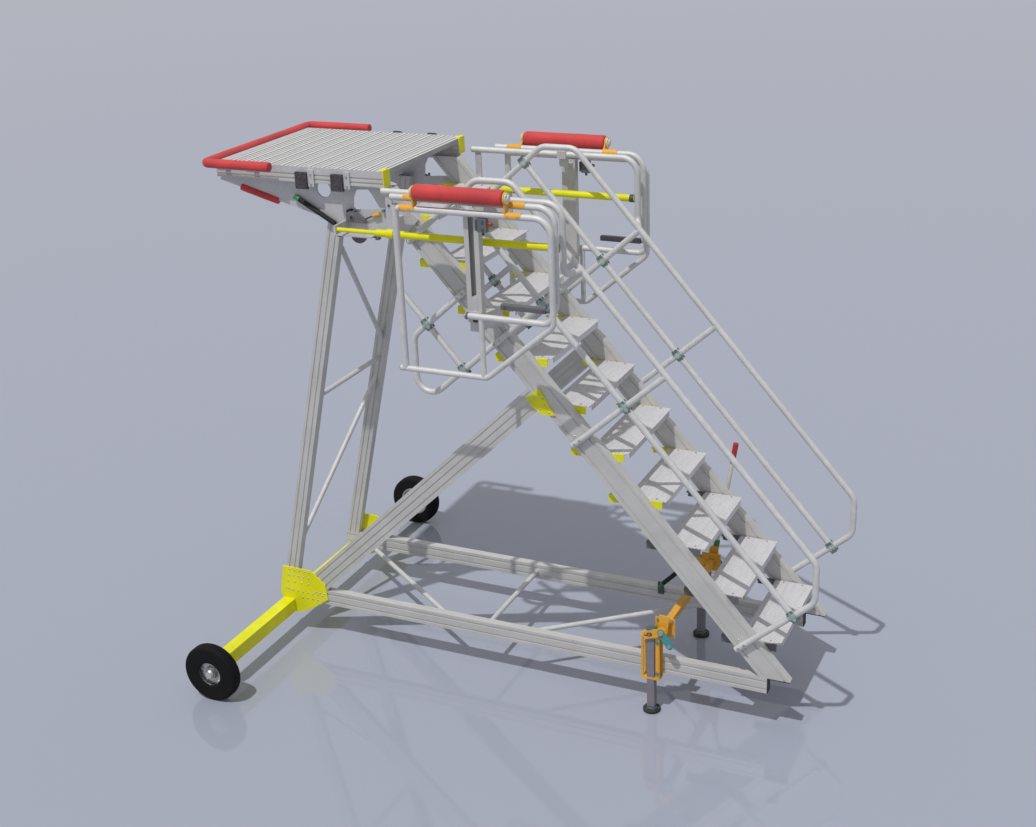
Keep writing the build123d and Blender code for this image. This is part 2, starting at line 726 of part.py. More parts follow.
# Guides of the lifting guards: C-section, open outwards, on an arm and a saddle
guide_t = 4.0
guide_slot = 30.0
guide_mid = (guide_x0 + guide_x1) / 2
saddle_x0, saddle_x1 = guide_mid - 27, guide_mid + 28
with BuildPart() as guard_guides:
    with BuildSketch(Plane((guide_mid, -(guide_y0 + guide_y1) / 2, guide_z0), z_dir=(0, 0, 1))):
        Rectangle(guide_x1 - guide_x0, guide_y1 - guide_y0)
        Rectangle(guide_x1 - guide_x0 - 2 * guide_t, guide_y1 - guide_y0 - 2 * guide_t, mode=Mode.SUBTRACT)
        with Locations((0, -(guide_y1 - guide_y0) / 2)):
            Rectangle(guide_slot, 4 * guide_t, mode=Mode.SUBTRACT)
    extrude(amount=guide_z1 - guide_z0)
    with Locations((guide_mid + 3, -(frame_out + guide_y1) / 2, guide_z0 - 25)):
        Box(68, guide_y1 - frame_out, 50)
    with Locations((guide_x0 + 10, -frame_out - 4, guide_z0 - 50)):
        Box(140, 8, 100)
    saddle_mid = (saddle_x0 + saddle_x1) / 2
    saddle_half = tube_r + press + clamp_wall
    with Locations((saddle_mid, -hoop_y, hoop_z)):
        Box(saddle_x1 - saddle_x0, 2 * saddle_half, 2 * saddle_half)
    web_y = hoop_y + saddle_half - 10
    arm_z = guide_z1 - 28
    with Locations((saddle_mid, -web_y - 5, (hoop_z + arm_z) / 2)):
        Box(saddle_x1 - saddle_x0, 10, hoop_z - arm_z)
    with Locations((saddle_mid, -(web_y + guide_y0) / 2, arm_z + 5)):
        Box(saddle_x1 - saddle_x0, guide_y0 - web_y, 10)
    with BuildSketch(Plane((saddle_x0 - 1, -hoop_y, hoop_z), z_dir=(1, 0, 0))):
        Circle(tube_r + press)
    extrude(amount=saddle_x1 - saddle_x0 + 2, mode=Mode.SUBTRACT)
    mirror(about=Plane.XZ)
guard_guides.part.label = "guard_guides"
save(guard_guides.part)

# Lifting guards: frame of tube, slide, latch and damper, roller brackets and roller, for each side
carriage_z0 = guard_low - 18
carriage_z1 = carriage_z0 + 115
carriage_play = 0.6
roller_play = 4.0
hub_r = 34.0
damper_z = guard_low + 72
knee_z = guard_low - 13
for side, name in ((-1, "right"), (1, "left")):
    with BuildPart() as guard:
        with BuildLine(Plane.XZ.offset(-side * guard_y)) as route:
            FilletPolyline(
                (guard_left - 4, guard_top),
                (hoop_x, guard_top),
                (hoop_x, guard_low),
                (guide_x0, guard_low),
                radius=[bend_r, 60],
            )
        with BuildSketch(route.line ^ 0):
            Circle(tube_r)
        sweep()
        with BuildLine(Plane.XZ.offset(-side * guard_y)) as route:
            FilletPolyline(
                (hoop_x, guard_low + 70),
                (hoop_x, knee_z),
                (guard_knee, guard_bottom),
                (guard_left - 30, guard_bottom),
                radius=[60, 60],
            )
        with BuildSketch(route.line ^ 0):
            Circle(inner_tube_r)
        sweep()
        with BuildLine() as route:
            FilletPolyline(
                (guard_left - 52, side * guard_rear_y, hoop_z),
                (hoop_x, side * guard_rear_y, hoop_z),
                (hoop_x, side * guard_rear_y, guard_low + 97),
                (hoop_x, side * guard_y, guard_low + 57),
                radius=[bend_r, 25],
            )
        with BuildSketch(route.line ^ 0):
            Circle(tube_r)
        sweep()
        side_tube((guard_left, guard_bottom), (guard_left, guard_top + tube_r + 2), side * guard_y, tube_r + 1)
        side_tube((guard_mid, guard_bottom), (guard_mid, guard_low + 4), side * guard_y, inner_tube_r - 1)
    guard.part.label = "guard_frame_" + name
    save(guard.part)

    with BuildPart() as slide:
        inner_y = side * (guide_y0 + guide_t + carriage_play)
        lip_y = side * (guide_y1 - guide_t - carriage_play)
        face_y = side * (guide_y1 + carriage_play)
        tube_y = side * (guard_y - tube_r - press)
        for y0, y1, width, z0, z1 in (
            (inner_y, lip_y, guide_x1 - guide_x0 - 2 * guide_t - 2 * carriage_play, carriage_z0, carriage_z1),
            (lip_y, face_y, guide_slot - 2 * carriage_play, carriage_z0, carriage_z1),
            (face_y, tube_y, 78, carriage_z0, carriage_z0 + 36),
        ):
            with Locations((guide_mid, (y0 + y1) / 2, (z0 + z1) / 2)):
                Box(width, abs(y1 - y0), z1 - z0)
    slide.part.label = "guard_slide_" + name
    save(slide.part)

    with BuildPart() as fittings:
        latch_z = guard_top - tube_r - press
        with Locations((guard_mid + 35, side * guard_y, latch_z - 37)):
            Box(50, 30, 74)
        damper_x1 = hoop_x - tube_r - press
        with BuildSketch(Plane((damper_x1 - 270, side * guard_y, damper_z), z_dir=(1, 0, 0))):
            RectangleRounded(30, 34, 6)
        extrude(amount=250)
        with BuildSketch(Plane((damper_x1 - 270, side * guard_y, damper_z), z_dir=(1, 0, 0))):
            Circle(12)
        extrude(amount=270)
    fittings.part.label = "guard_fittings_" + name
    save(fittings.part)

    with BuildPart() as brackets:
        for x, way in ((roller_x0 - roller_play, -1), (roller_x1 + roller_play, 1)):
            web_top = (guard_y, roller_z - hub_r)
            web_low = (guard_y, guard_top + tube_r)
            with BuildSketch(Plane((x, 0, 0), x_dir=(0, 1, 0), z_dir=(1, 0, 0))):
                with Locations((side * guard_y, roller_z)):
                    Circle(hub_r)
                with BuildLine():
                    Polyline(
                        (side * (guard_rear_y - 10), hoop_z), (side * (guard_y - 22), roller_z + 12),
                        (side * (guard_y + 22), roller_z + 12), (side * (guard_y + 17), guard_top), close=True,
                    )
                make_face()
                with Locations((side * guard_y, roller_z)):
                    Circle(roller_axle_r + running, mode=Mode.SUBTRACT)
            extrude(amount=way * bracket_t)
            for y, z in ((guard_y, guard_top), (guard_rear_y, hoop_z)):
                with BuildSketch(Plane((x, side * y, z), z_dir=(way, 0, 0))):
                    Circle(tube_r + press + strap_t)
                extrude(amount=strap_len)
                with BuildSketch(Plane((x - way, side * y, z), z_dir=(way, 0, 0))):
                    Circle(tube_r + press)
                extrude(amount=strap_len + 2, mode=Mode.SUBTRACT)
                with Locations((x + way * strap_len / 2, side * y, z - tube_r - strap_t)):
                    Box(strap_len + 2, 2 * tube_d - 2 * bracket_t, 2 * tube_r, mode=Mode.SUBTRACT)
    brackets.part.label = "roller_brackets_" + name
    save(brackets.part)

    with BuildPart() as roller:
        with BuildSketch(Plane((roller_x0, side * guard_y, roller_z), z_dir=(1, 0, 0))):
            Circle(roller_r)
        extrude(amount=roller_x1 - roller_x0)
        fillet(roller.edges().filter_by(GeomType.CIRCLE), radius=8)
        reach = roller_play + bracket_t + 6
        with BuildSketch(Plane((roller_x0 - reach, side * guard_y, roller_z), z_dir=(1, 0, 0))):
            Circle(roller_axle_r)
        extrude(amount=roller_x1 - roller_x0 + 2 * reach)
    roller.part.label = "roller_" + name
    save(roller.part)

# Jack brackets on the rails: back plate, square flange for the shaft, two collars and two straps
jack_out = leg_y + leg_w / 2 + 2
jack_x0, jack_x1 = leg_x - 55, leg_x + 55
jack_low, jack_guide, jack_top = rail_bottom - 20, rail_top + 148, rail_top + 160
jack_t = 6.0
collar_t = 12.0
strap_narrow, strap_wide = 16.0, 26.0
flange_half = 58.0
with BuildPart() as jack_brackets:
    with BuildSketch(Plane.XZ.offset(frame_out)):
        with Locations((leg_x, (jack_low + jack_top) / 2)):
            Rectangle(jack_x1 - jack_x0, jack_top - jack_low)
        with Locations((shaft_x, shaft_z)):
            Rectangle(2 * flange_half, 2 * flange_half)
            Circle(journal_r + running, mode=Mode.SUBTRACT)
    extrude(amount=jack_t)
    for z in (jack_low, jack_guide):
        with Locations(((jack_x0 + jack_x1) / 2, -(frame_out + jack_out) / 2, z + collar_t / 2)):
            Box(jack_x1 - jack_x0, jack_out - frame_out, collar_t)
    for x, width in ((jack_x0 + strap_narrow / 2, strap_narrow), (jack_x1 - strap_wide / 2, strap_wide)):
        with Locations((x, -jack_out + jack_t / 2, (jack_low + jack_guide) / 2)):
            Box(width, jack_t, jack_guide - jack_low)
    corners = jack_brackets.edges().filter_by(Axis.Z).group_by(Axis.Y)[0]
    chamfer(corners, length=5)
    with Locations((leg_x, -leg_y, (jack_low + jack_top) / 2)):
        Box(leg_w + 2 * leg_play, leg_w + 2 * leg_play, 2 * jack_top, mode=Mode.SUBTRACT)
    mirror(about=Plane.XZ)
jack_brackets.part.label = "jack_brackets"
save(jack_brackets.part)

# Jack legs with the pin for the cam, and their feet
pin_z = shaft_z - (shaft_x - leg_x) * sin(cam_drop) / cos(cam_drop)
for side, name in ((-1, "right"), (1, "left")):
    with BuildPart() as leg:
        with Locations((leg_x, side * leg_y, (pad_h + leg_top) / 2)):
            Box(leg_w, leg_w, leg_top - pad_h)
            Box(leg_w - 2 * wall, leg_w - 2 * wall, leg_top - pad_h - 16, mode=Mode.SUBTRACT)
        with BuildSketch(Plane((leg_x, side * (leg_y + leg_w / 2), pin_z), z_dir=(0, side, 0))):
            Circle(pin_r)
        extrude(amount=cam_y + cam_t + 3 - leg_y - leg_w / 2)
    leg.part.label = "jack_leg_" + name
    save(leg.part)

    with BuildPart() as foot:
        with Locations((leg_x, side * leg_y, pad_t / 2)):
            Cylinder(pad_r, pad_t)
        chamfer(foot.edges().sort_by(Axis.Z)[-1], length=5)
        with Locations((leg_x, side * leg_y, pad_h / 2)):
            Cylinder(leg_w / 2, pad_h)
    foot.part.label = "jack_foot_" + name
    save(foot.part)

# Cross shaft: square tube between the brackets, round journals, arm plates and the spring's arm
arm_y = frame_out + jack_t + 32
with BuildPart() as cross_shaft:
    with Locations((shaft_x, 0, shaft_z)):
        Box(shaft_w, 2 * (frame_out - 2), shaft_w)
    journal_end = cam_y + cam_t + link_t + 4
    with BuildSketch(Plane((shaft_x, -journal_end, shaft_z), z_dir=(0, 1, 0))):
        Circle(journal_r)
    extrude(amount=2 * journal_end)
    for side in (-1, 1):
        with BuildSketch(Plane((0, side * arm_y, 0), x_dir=(1, 0, 0), z_dir=(0, -1, 0))):
            with BuildLine():
                Polyline(
                    (shaft_x - 26, shaft_z - 22), (shaft_x + 26, shaft_z - 22), (shaft_x + 36, shaft_z + 90),
                    (shaft_x - 22, shaft_z + 90), close=True,
                )
            make_face()
        extrude(amount=4, both=True)
    eye_gap = 2.0
    eye_half = 9.0
    with BuildSketch(Plane((0, spring_y - eye_half - eye_gap, 0), x_dir=(1, 0, 0), z_dir=(0, -1, 0))):
        with BuildLine():
            Polyline(
                (shaft_x - 20, shaft_z - 20), (shaft_x, shaft_z + 20), (spring_eye[0] + 14, spring_eye[1] + 14),
                (spring_eye[0] - 16, spring_eye[1] + 6), (spring_eye[0] - 10, spring_eye[1] - 16), close=True,
            )
        make_face()
    extrude(amount=8)
cross_shaft.part.label = "cross_shaft"
save(cross_shaft.part)

# Cams on the ends of the shaft, slotted for the pins of the legs
pin_far = (shaft_x - leg_x) / cos(cam_drop)
with BuildPart() as shaft_cams:
    cam_plane = Plane((shaft_x, -cam_y, shaft_z), x_dir=(-cos(cam_drop), 0, -sin(cam_drop)), z_dir=(0, -1, 0))
    with BuildSketch(cam_plane):
        Circle(30)
        with Locations((55, 0)):
            Rectangle(110, 2 * cam_half)
        with Locations((pin_far + 8, 0)):
            SlotOverall(50, 2 * slot_half, mode=Mode.SUBTRACT)
        Circle(journal_r + press, mode=Mode.SUBTRACT)
    extrude(amount=cam_t)
    mirror(about=Plane.XZ)
shaft_cams.part.label = "shaft_cams"
save(shaft_cams.part)

# Links on the outer faces of the cams, hanging down from the shaft
with BuildPart() as shaft_links:
    link_plane = Plane((shaft_x, -cam_y - cam_t, shaft_z), x_dir=(cos(link_drop), 0, -sin(link_drop)), z_dir=(0, -1, 0))
    with BuildSketch(link_plane):
        with Locations((link_len / 2, 0)):
            SlotCenterToCenter(link_len, 2 * link_half)
        Circle(journal_r + press, mode=Mode.SUBTRACT)
    extrude(amount=link_t)
    mirror(about=Plane.XZ)
shaft_links.part.label = "shaft_links"
save(shaft_links.part)

# Hand lever and its grip, on the left arm plate
lever_y = arm_y + 4 + lever_r
lever_up = Vector(sin(lever_lean), 0, cos(lever_lean))
with BuildPart() as hand_lever:
    foot_at = Vector(shaft_x, lever_y, shaft_z) + lever_up * lever_foot
    with BuildSketch(Plane(foot_at, z_dir=lever_up)):
        Circle(lever_r)
        Circle(lever_r - 2, mode=Mode.SUBTRACT)
    extrude(amount=lever_top - lever_foot)
hand_lever.part.label = "hand_lever"
save(hand_lever.part)

with BuildPart() as lever_grip:
    grip_at = Vector(shaft_x, lever_y, shaft_z) + lever_up * (lever_top - grip_len)
    with BuildSketch(Plane(grip_at, z_dir=lever_up)):
        Circle(grip_r)
    extrude(amount=grip_len + 8)
    with BuildSketch(Plane(grip_at, z_dir=lever_up)):
        Circle(lever_r + press)
    extrude(amount=grip_len + press, mode=Mode.SUBTRACT)
lever_grip.part.label = "lever_grip"
save(lever_grip.part)

# Gas spring of the lever, on a bracket at the inner face of the left rail
spring_pin_r = 5.0
with BuildPart() as spring_bracket:
    with Locations((spring_foot[0], (frame_in + spring_y + eye_half) / 2 + 0.5, 330)):
        Box(36, frame_in - spring_y - eye_half - 1, 80)
    with BuildSketch(Plane((spring_foot[0], frame_in - 4, spring_foot[1]), z_dir=(0, -1, 0))):
        Circle(spring_pin_r)
    extrude(amount=frame_in - 4 - spring_y + eye_half + 4)
spring_bracket.part.label = "spring_bracket"
save(spring_bracket.part)

foot_v = Vector(spring_foot[0], spring_y, spring_foot[1])
eye_v = Vector(spring_eye[0], spring_y, spring_eye[1])
spring_way = (eye_v - foot_v).normalized()
with BuildPart() as spring_cylinder:
    with BuildSketch(Plane(foot_v, z_dir=(0, -1, 0))):
        Circle(12)
    extrude(amount=eye_half - 0.5, both=True)
    with BuildSketch(Plane(foot_v + spring_way * 8, z_dir=spring_way)):
        Circle(6)
    extrude(amount=30)
    with BuildSketch(Plane(foot_v + spring_way * 30, z_dir=spring_way)):
        Circle(spring_r)
    extrude(amount=spring_len)
    with BuildSketch(Plane(foot_v + spring_way * 40, z_dir=spring_way)):
        Circle(spring_rod_r + press)
    extrude(amount=spring_len, mode=Mode.SUBTRACT)
    with BuildSketch(Plane(foot_v, z_dir=(0, -1, 0))):
        Circle(spring_pin_r + running)
    extrude(amount=eye_half, both=True, mode=Mode.SUBTRACT)
spring_cylinder.part.label = "spring_cylinder"
save(spring_cylinder.part)

with BuildPart() as spring_rod:
    with BuildSketch(Plane(foot_v + spring_way * 60, z_dir=spring_way)):
        Circle(spring_rod_r)
    extrude(amount=(eye_v - foot_v).length - 60)
    with BuildSketch(Plane(eye_v, z_dir=(0, -1, 0))):
        Circle(12)
    extrude(amount=eye_half - 0.5, both=True)
spring_rod.part.label = "spring_rod"
save(spring_rod.part)

# Wheels: tyre and dished hub, turned about the stub
shoulder = 20.0
for side, name in ((-1, "right"), (1, "left")):
    with BuildPart() as tyre:
        with BuildSketch(Plane.YZ):
            with Locations((side * wheel_y, tyre_r + (tyre_r + rim_r + press) / 2)):
                Rectangle(tyre_w, tyre_r - rim_r - press)
        revolve(axis=Axis((0, 0, tyre_r), (0, 1, 0)))
        fillet(tyre.edges().filter_by(GeomType.CIRCLE).group_by(SortBy.RADIUS)[-1], radius=shoulder)
    tyre.part.label = "tyre_" + name
    save(tyre.part)

    with BuildPart() as hub:
        base = tyre_r
        with BuildSketch(Plane.YZ):
            with BuildLine():
                Polyline(
                    (side * (wheel_y - 34), base + rim_r), (side * (wheel_y + 34), base + rim_r),
                    (side * (wheel_y + 34), base + rim_r - 8), (side * (wheel_y + 14), base + rim_r - 14),
                    (side * (wheel_y + 10), base + 42), (side * (wheel_y + 30), base + 36),
                    (side * (wheel_y + 30), base + stub_r + running),
                    (side * (wheel_y - 34), base + stub_r + running), (side * (wheel_y - 34), base + 36),
                    (side * (wheel_y - 4), base + 42), (side * (wheel_y - 2), base + rim_r - 14),
                    (side * (wheel_y - 34), base + rim_r - 8), close=True,
                )
            make_face()
        revolve(axis=Axis((0, 0, tyre_r), (0, 1, 0)))
    hub.part.label = "hub_" + name
    save(hub.part)
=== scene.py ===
import math

import bmesh
import bpy
from mathutils import Matrix, Vector


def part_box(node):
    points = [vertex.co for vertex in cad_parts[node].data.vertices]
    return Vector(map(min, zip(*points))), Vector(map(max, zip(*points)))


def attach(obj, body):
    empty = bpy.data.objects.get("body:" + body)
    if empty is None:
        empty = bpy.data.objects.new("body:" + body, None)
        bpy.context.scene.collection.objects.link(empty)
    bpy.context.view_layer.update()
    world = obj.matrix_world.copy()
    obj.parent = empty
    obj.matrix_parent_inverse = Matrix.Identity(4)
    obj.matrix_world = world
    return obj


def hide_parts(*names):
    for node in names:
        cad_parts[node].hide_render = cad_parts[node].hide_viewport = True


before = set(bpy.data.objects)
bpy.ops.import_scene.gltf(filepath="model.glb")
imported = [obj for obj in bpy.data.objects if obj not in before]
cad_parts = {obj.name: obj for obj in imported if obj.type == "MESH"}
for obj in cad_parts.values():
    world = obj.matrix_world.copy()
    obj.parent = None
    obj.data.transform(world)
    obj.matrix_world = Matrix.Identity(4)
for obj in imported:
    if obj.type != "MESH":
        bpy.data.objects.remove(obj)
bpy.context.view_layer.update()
sides = (("right", -1), ("left", 1))


# Shader maths: a socket that can be added to, multiplied and compared in Python
class Wire:
    def __init__(self, finish, socket):
        self.finish = finish
        self.socket = socket

    def maths(self, operation, first, second=0.0):
        return self.finish.node("ShaderNodeMath", {"operation": operation}, {0: first, 1: second})

    def __add__(self, other):
        return self.maths("ADD", self, other)

    def __sub__(self, other):
        return self.maths("SUBTRACT", self, other)

    def __mul__(self, other):
        return self.maths("MULTIPLY", self, other)

    def __gt__(self, other):
        return self.maths("GREATER_THAN", self, other)

    def wave(self, length):
        """A sine of this value, from 0 to 1, once in each length."""
        return self.maths("SINE", self * (2 * math.pi / length)) * 0.5 + 0.5

    def ease(self, low, high):
        return self.finish.node(
            "ShaderNodeMapRange",
            {"interpolation_type": "SMOOTHSTEP"},
            {"Value": self, "From Min": low, "From Max": high},
        )


class Finish:
    def __init__(self, name):
        self.material = bpy.data.materials.new(name)
        self.material.use_nodes = True
        self.tree = self.material.node_tree
        self.shader = next(n for n in self.tree.nodes if n.type == "BSDF_PRINCIPLED")
        self.place = self.node("ShaderNodeTexCoord", out="Object")

    def node(self, kind, settings=None, inputs=None, out=0):
        made = self.tree.nodes.new(kind)
        for key, value in (settings or {}).items():
            setattr(made, key, value)
        for key, value in (inputs or {}).items():
            self.feed(made.inputs[key], value)
        return Wire(self, made.outputs[out])

    def feed(self, socket, value):
        if isinstance(value, Wire):
            self.tree.links.new(value.socket, socket)
        else:
            socket.default_value = value

    def set(self, **values):
        for key, value in values.items():
            self.feed(self.shader.inputs[key.replace("_", " ")], value)
        return self

    def noise(self, scale, detail=3.0, stretch=(1, 1, 1)):
        place = self.node(
            "ShaderNodeMapping", {"vector_type": "POINT"}, {"Vector": self.place, "Scale": stretch}
        )
        return self.node("ShaderNodeTexNoise", {}, {"Vector": place, "Scale": scale, "Detail": detail})

    def axis(self, letter):
        return self.node("ShaderNodeSeparateXYZ", {}, {"Vector": self.place}, "XYZ".index(letter))

    def mix(self, amount, first, second):
        mixer = self.tree.nodes.new("ShaderNodeMix")
        mixer.data_type = "RGBA"
        self.feed(mixer.inputs["Factor"], amount)
        colours = [socket for socket in mixer.inputs if socket.type == "RGBA"]
        for socket, value in zip(colours, (first, second)):
            self.feed(socket, value)
        return Wire(self, next(socket for socket in mixer.outputs if socket.type == "RGBA"))

    def bump(self, height, strength, distance):
        normal = self.node(
            "ShaderNodeBump", {}, {"Height": height, "Strength": strength, "Distance": distance}
        )
        return self.set(Normal=normal)


def rgb(red, green, blue):
    return (red, green, blue, 1.0)


def shade(colour, factor):
    return rgb(*(part * factor for part in colour[:3]))


# Bare aluminium: drawn sections and tube, a little dull, with faint streaks and handling marks
def aluminium(name, colour, stretch):
    f = Finish(name)
    streaks = f.noise(55.0, 4.0, stretch)
    clouds = f.noise(2.6, 4.0)
    marks = f.noise(38.0, 2.0) > 0.71
    tone = f.mix(streaks.ease(0.3, 0.7), shade(colour, 0.90), colour)
    tone = f.mix(clouds.ease(0.42, 0.72) * 0.45, tone, shade(colour, 0.82))
    tone = f.mix(marks * 0.35, tone, shade(colour, 0.62))
    f.set(Base_Color=tone, Metallic=0.22, Roughness=clouds * 0.14 + 0.44 + streaks * 0.08)
    return f.bump(streaks, 0.10, 0.0006)


# Paint with a fine peel, a little grime, and chips down to a grey ground
def painted(name, colour, rough=0.38):
    f = Finish(name)
    peel = f.noise(420.0, 2.0)
    clouds = f.noise(5.0, 4.0)
    chips = f.noise(46.0, 5.0) > 0.72
    grime = f.noise(9.0, 6.0).ease(0.55, 0.80)
    tone = f.mix(clouds.ease(0.3, 0.7), shade(colour, 0.90), shade(colour, 1.05))
    tone = f.mix(grime * 0.25, tone, shade(colour, 0.55))
    tone = f.mix(chips, tone, rgb(0.30, 0.30, 0.30))
    f.set(Base_Color=tone, Roughness=grime * 0.2 + rough + chips * 0.2, Metallic=chips * 0.5)
    f.set(Coat_Weight=0.05, Specular_IOR_Level=0.25)
    return f.bump(peel * 0.3 - chips * 0.7, 0.15, 0.0005)


# Rubber, plastic and other plain surfaces, with fine grain and patches of dust
def dull(name, colour, rough=0.6, grain=260.0, depth=0.0004, dust=0.2, contrast=0.15):
    f = Finish(name)
    fine = f.noise(grain, 3.0)
    clouds = f.noise(7.0, 5.0)
    tone = f.mix(fine.ease(0.3, 0.7), shade(colour, 1 - contrast), shade(colour, 1 + contrast))
    tone = f.mix(clouds.ease(0.5, 0.8) * dust, tone, rgb(0.30, 0.29, 0.28))
    f.set(Base_Color=tone, Roughness=clouds * 0.15 + rough)
    return f.bump(fine, 0.25, depth)


# Closed-cell foam, scuffed in places
def foam(name, colour):
    f = Finish(name)
    cells = f.node("ShaderNodeTexVoronoi", {}, {"Vector": f.place, "Scale": 620.0})
    clouds = f.noise(6.0, 4.0)
    scuffs = f.noise(21.0, 6.0).ease(0.60, 0.74)
    tone = f.mix(clouds.ease(0.3, 0.7), shade(colour, 0.80), shade(colour, 1.08))
    tone = f.mix(scuffs * 0.35, tone, shade(colour, 0.55))
    f.set(Base_Color=tone, Roughness=clouds * 0.12 + 0.66, Sheen_Weight=0.15)
    return f.bump(cells, 0.22, 0.0006)


# Tread plate: punched with staggered rows of small holes whose rims stand up, the rims painted lighter as a
# highlight and the holes painted dark as shade
def tread_plate(name, colour):
    f = Finish(name)
    x, y = f.axis("X"), f.axis("Y")
    pitch = 0.021
    ring = x.wave(pitch) * y.wave(pitch)
    stagger = (x + pitch / 2).wave(pitch) * (y + pitch / 2).wave(pitch)
    both = ring + stagger
    holes = both.ease(0.84, 0.90)
    rims = both.ease(0.50, 0.80) - holes
    streaks = f.noise(60.0, 3.0, (1.0, 0.1, 1.0))
    clouds = f.noise(4.0, 4.0)
    tone = f.mix(streaks.ease(0.3, 0.7), shade(colour, 0.88), colour)
    tone = f.mix(clouds.ease(0.45, 0.75) * 0.4, tone, shade(colour, 0.78))
    # Painted highlight: the raised rims are lightened
    tone = f.mix(rims * 0.6, tone, shade(colour, 1.22))
    # Painted shade: the holes are filled with a near-black grey
    tone = f.mix(holes * 0.9, tone, rgb(0.16, 0.16, 0.17))
    f.set(Base_Color=tone, Metallic=0.15, Roughness=clouds * 0.12 + 0.45)
    return f.bump(rims - holes, 0.6, 0.0015)


# Deck planks: ribs along each plank, with painted shade in the troughs between them
def ribbed(name, colour, start, pitch):
    f = Finish(name)
    ribs = (f.axis("X") - (start + pitch / 4)).wave(pitch)
    clouds = f.noise(3.0, 5.0)
    # Painted shade: the troughs between the ribs are darkened to less than half the plank's colour
    tone = f.mix(ribs.ease(0.10, 0.55), shade(colour, 0.42), colour)
    tone = f.mix(clouds.ease(0.45, 0.75) * 0.4, tone, shade(colour, 0.74))
    f.set(Base_Color=tone, Metallic=0.2, Roughness=clouds * 0.16 + 0.42)
    return f.bump(ribs.ease(0.0, 0.6), 0.7, 0.003)


# Plated or turned steel
def steel(name, colour, rough=0.3):
    f = Finish(name)
    clouds = f.noise(14.0, 4.0)
    fine = f.noise(300.0, 2.0)
    tone = f.mix(clouds.ease(0.3, 0.7), shade(colour, 0.8), colour)
    f.set(Base_Color=tone, Metallic=0.9, Roughness=clouds * 0.2 + rough)
    return f.bump(fine, 0.08, 0.0003)


plank_low, plank_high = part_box("deck_planks")
plank_count, plank_gap, ribs_each = 12, 0.004, 3
rib_pitch = (plank_high.x - plank_low.x + plank_gap) / plank_count / ribs_each
yellow = rgb(0.78, 0.76, 0.012)
even = (0.5, 0.5, 0.5)
finishes = {
    "section": aluminium("drawn_section", rgb(0.60, 0.59, 0.565), (0.12, 1.0, 0.12)),
    "tube": aluminium("drawn_tube", rgb(0.66, 0.655, 0.64), even),
    "plate": aluminium("rolled_plate", rgb(0.60, 0.59, 0.60), (1.0, 1.0, 1.0)),
    "tread": tread_plate("punched_tread", rgb(0.68, 0.665, 0.67)),
    "deck": ribbed("ribbed_plank", rgb(0.72, 0.715, 0.69), plank_low.x, rib_pitch),
    "yellow": painted("yellow_paint", yellow),
    "axle": painted("axle_paint", yellow),
    "orange": painted("orange_paint", rgb(0.78, 0.40, 0.045)),
    "teal": painted("teal_paint", rgb(0.06, 0.30, 0.31)),
    "cream": painted("cream_paint", rgb(0.66, 0.64, 0.56)),
    "dark": painted("dark_paint", rgb(0.07, 0.09, 0.09), 0.45),
    "clamp": painted("cast_clamp", rgb(0.33, 0.39, 0.38), 0.45),
    "clamp_dark": painted("clamp_ear", rgb(0.12, 0.17, 0.165), 0.45),
    "leg": aluminium("jack_leg_tube", rgb(0.25, 0.23, 0.255), even),
    "neck": painted("foot_neck_paint", rgb(0.09, 0.15, 0.15), 0.45),
    "steel_grey": painted("steel_grey_paint", rgb(0.16, 0.15, 0.17), 0.5),
    "stop": dull("stop_rubber", rgb(0.060, 0.052, 0.060), 0.7, 190.0, 0.0015, 0.10, 0.75),
    "strut": dull("strut_tube", rgb(0.010, 0.010, 0.011), 0.7, 200.0, 0.0002, 0.03),
    "grey": painted("grey_paint", rgb(0.13, 0.13, 0.14), 0.45),
    "green": painted("green_paint", rgb(0.05, 0.24, 0.10), 0.4),
    "black": dull("black_plastic", rgb(0.022, 0.022, 0.024), 0.45),
    "rubber": dull("black_rubber", rgb(0.018, 0.018, 0.018), 0.62, 180.0, 0.0008, 0.12),
    "tyre": dull("tyre_rubber", rgb(0.005, 0.005, 0.006), 0.70, 120.0, 0.001, 0.02),
    "foam": foam("red_foam", rgb(0.60, 0.045, 0.045)),
    "red": dull("red_grip", rgb(0.42, 0.02, 0.02), 0.4),
    "hub": steel("wheel_hub", rgb(0.62, 0.62, 0.60), 0.28),
    "zinc": steel("zinc_plate", rgb(0.60, 0.60, 0.57)),
}
finishes["tyre"].set(Specular_IOR_Level=0.2)

# The nodes that take each finish
node_finish = {
    "section": ("base_rails", "rear_posts", "diagonal_beams", "stringers", "deck_rails", "guard_guides"),
    "tube": (
        "brace_tubes", "handrail_left", "handrail_right", "hoop_left", "hoop_right",
        "guard_frame_left", "guard_frame_right",
    ),
    "leg": ("jack_leg_left", "jack_leg_right"),
    "plate": ("deck_beams", "side_plates", "hangers", "guard_slide_left", "guard_slide_right"),
    "tread": ("treads",),
    "deck": ("deck_planks",),
    "axle": ("axle_beam",),
    "yellow": (
        "gusset_plates", "tread_brackets", "deck_caps", "bar_tubes", "bar_rod_left", "bar_rod_right",
    ),
    "orange": (
        "jack_brackets", "cross_shaft", "roller_brackets_left", "roller_brackets_right", "shaft_cams",
    ),
    "teal": ("shaft_links",),
    "cream": ("hand_lever",),
    "dark": ("spring_bracket",),
    "clamp": ("rail_clamps",),
    "grey": ("low_tread_brackets", "guard_fittings_left", "guard_fittings_right"),
    "strut": ("deck_struts", "spring_cylinder"),
    "rubber": ("foot_rubbers", "jack_foot_left", "jack_foot_right"),
    "stop": ("rail_stops",),
    "tyre": ("tyre_left", "tyre_right"),
    "foam": ("bumper", "edge_sleeves", "roller_left", "roller_right"),
    "red": ("lever_grip",),
    "hub": ("hub_left", "hub_right"),
    "zinc": ("spring_rod",),
}
for key, names in node_finish.items():
    for name in names:
        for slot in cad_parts[name].material_slots:
            slot.material = finishes[key].material


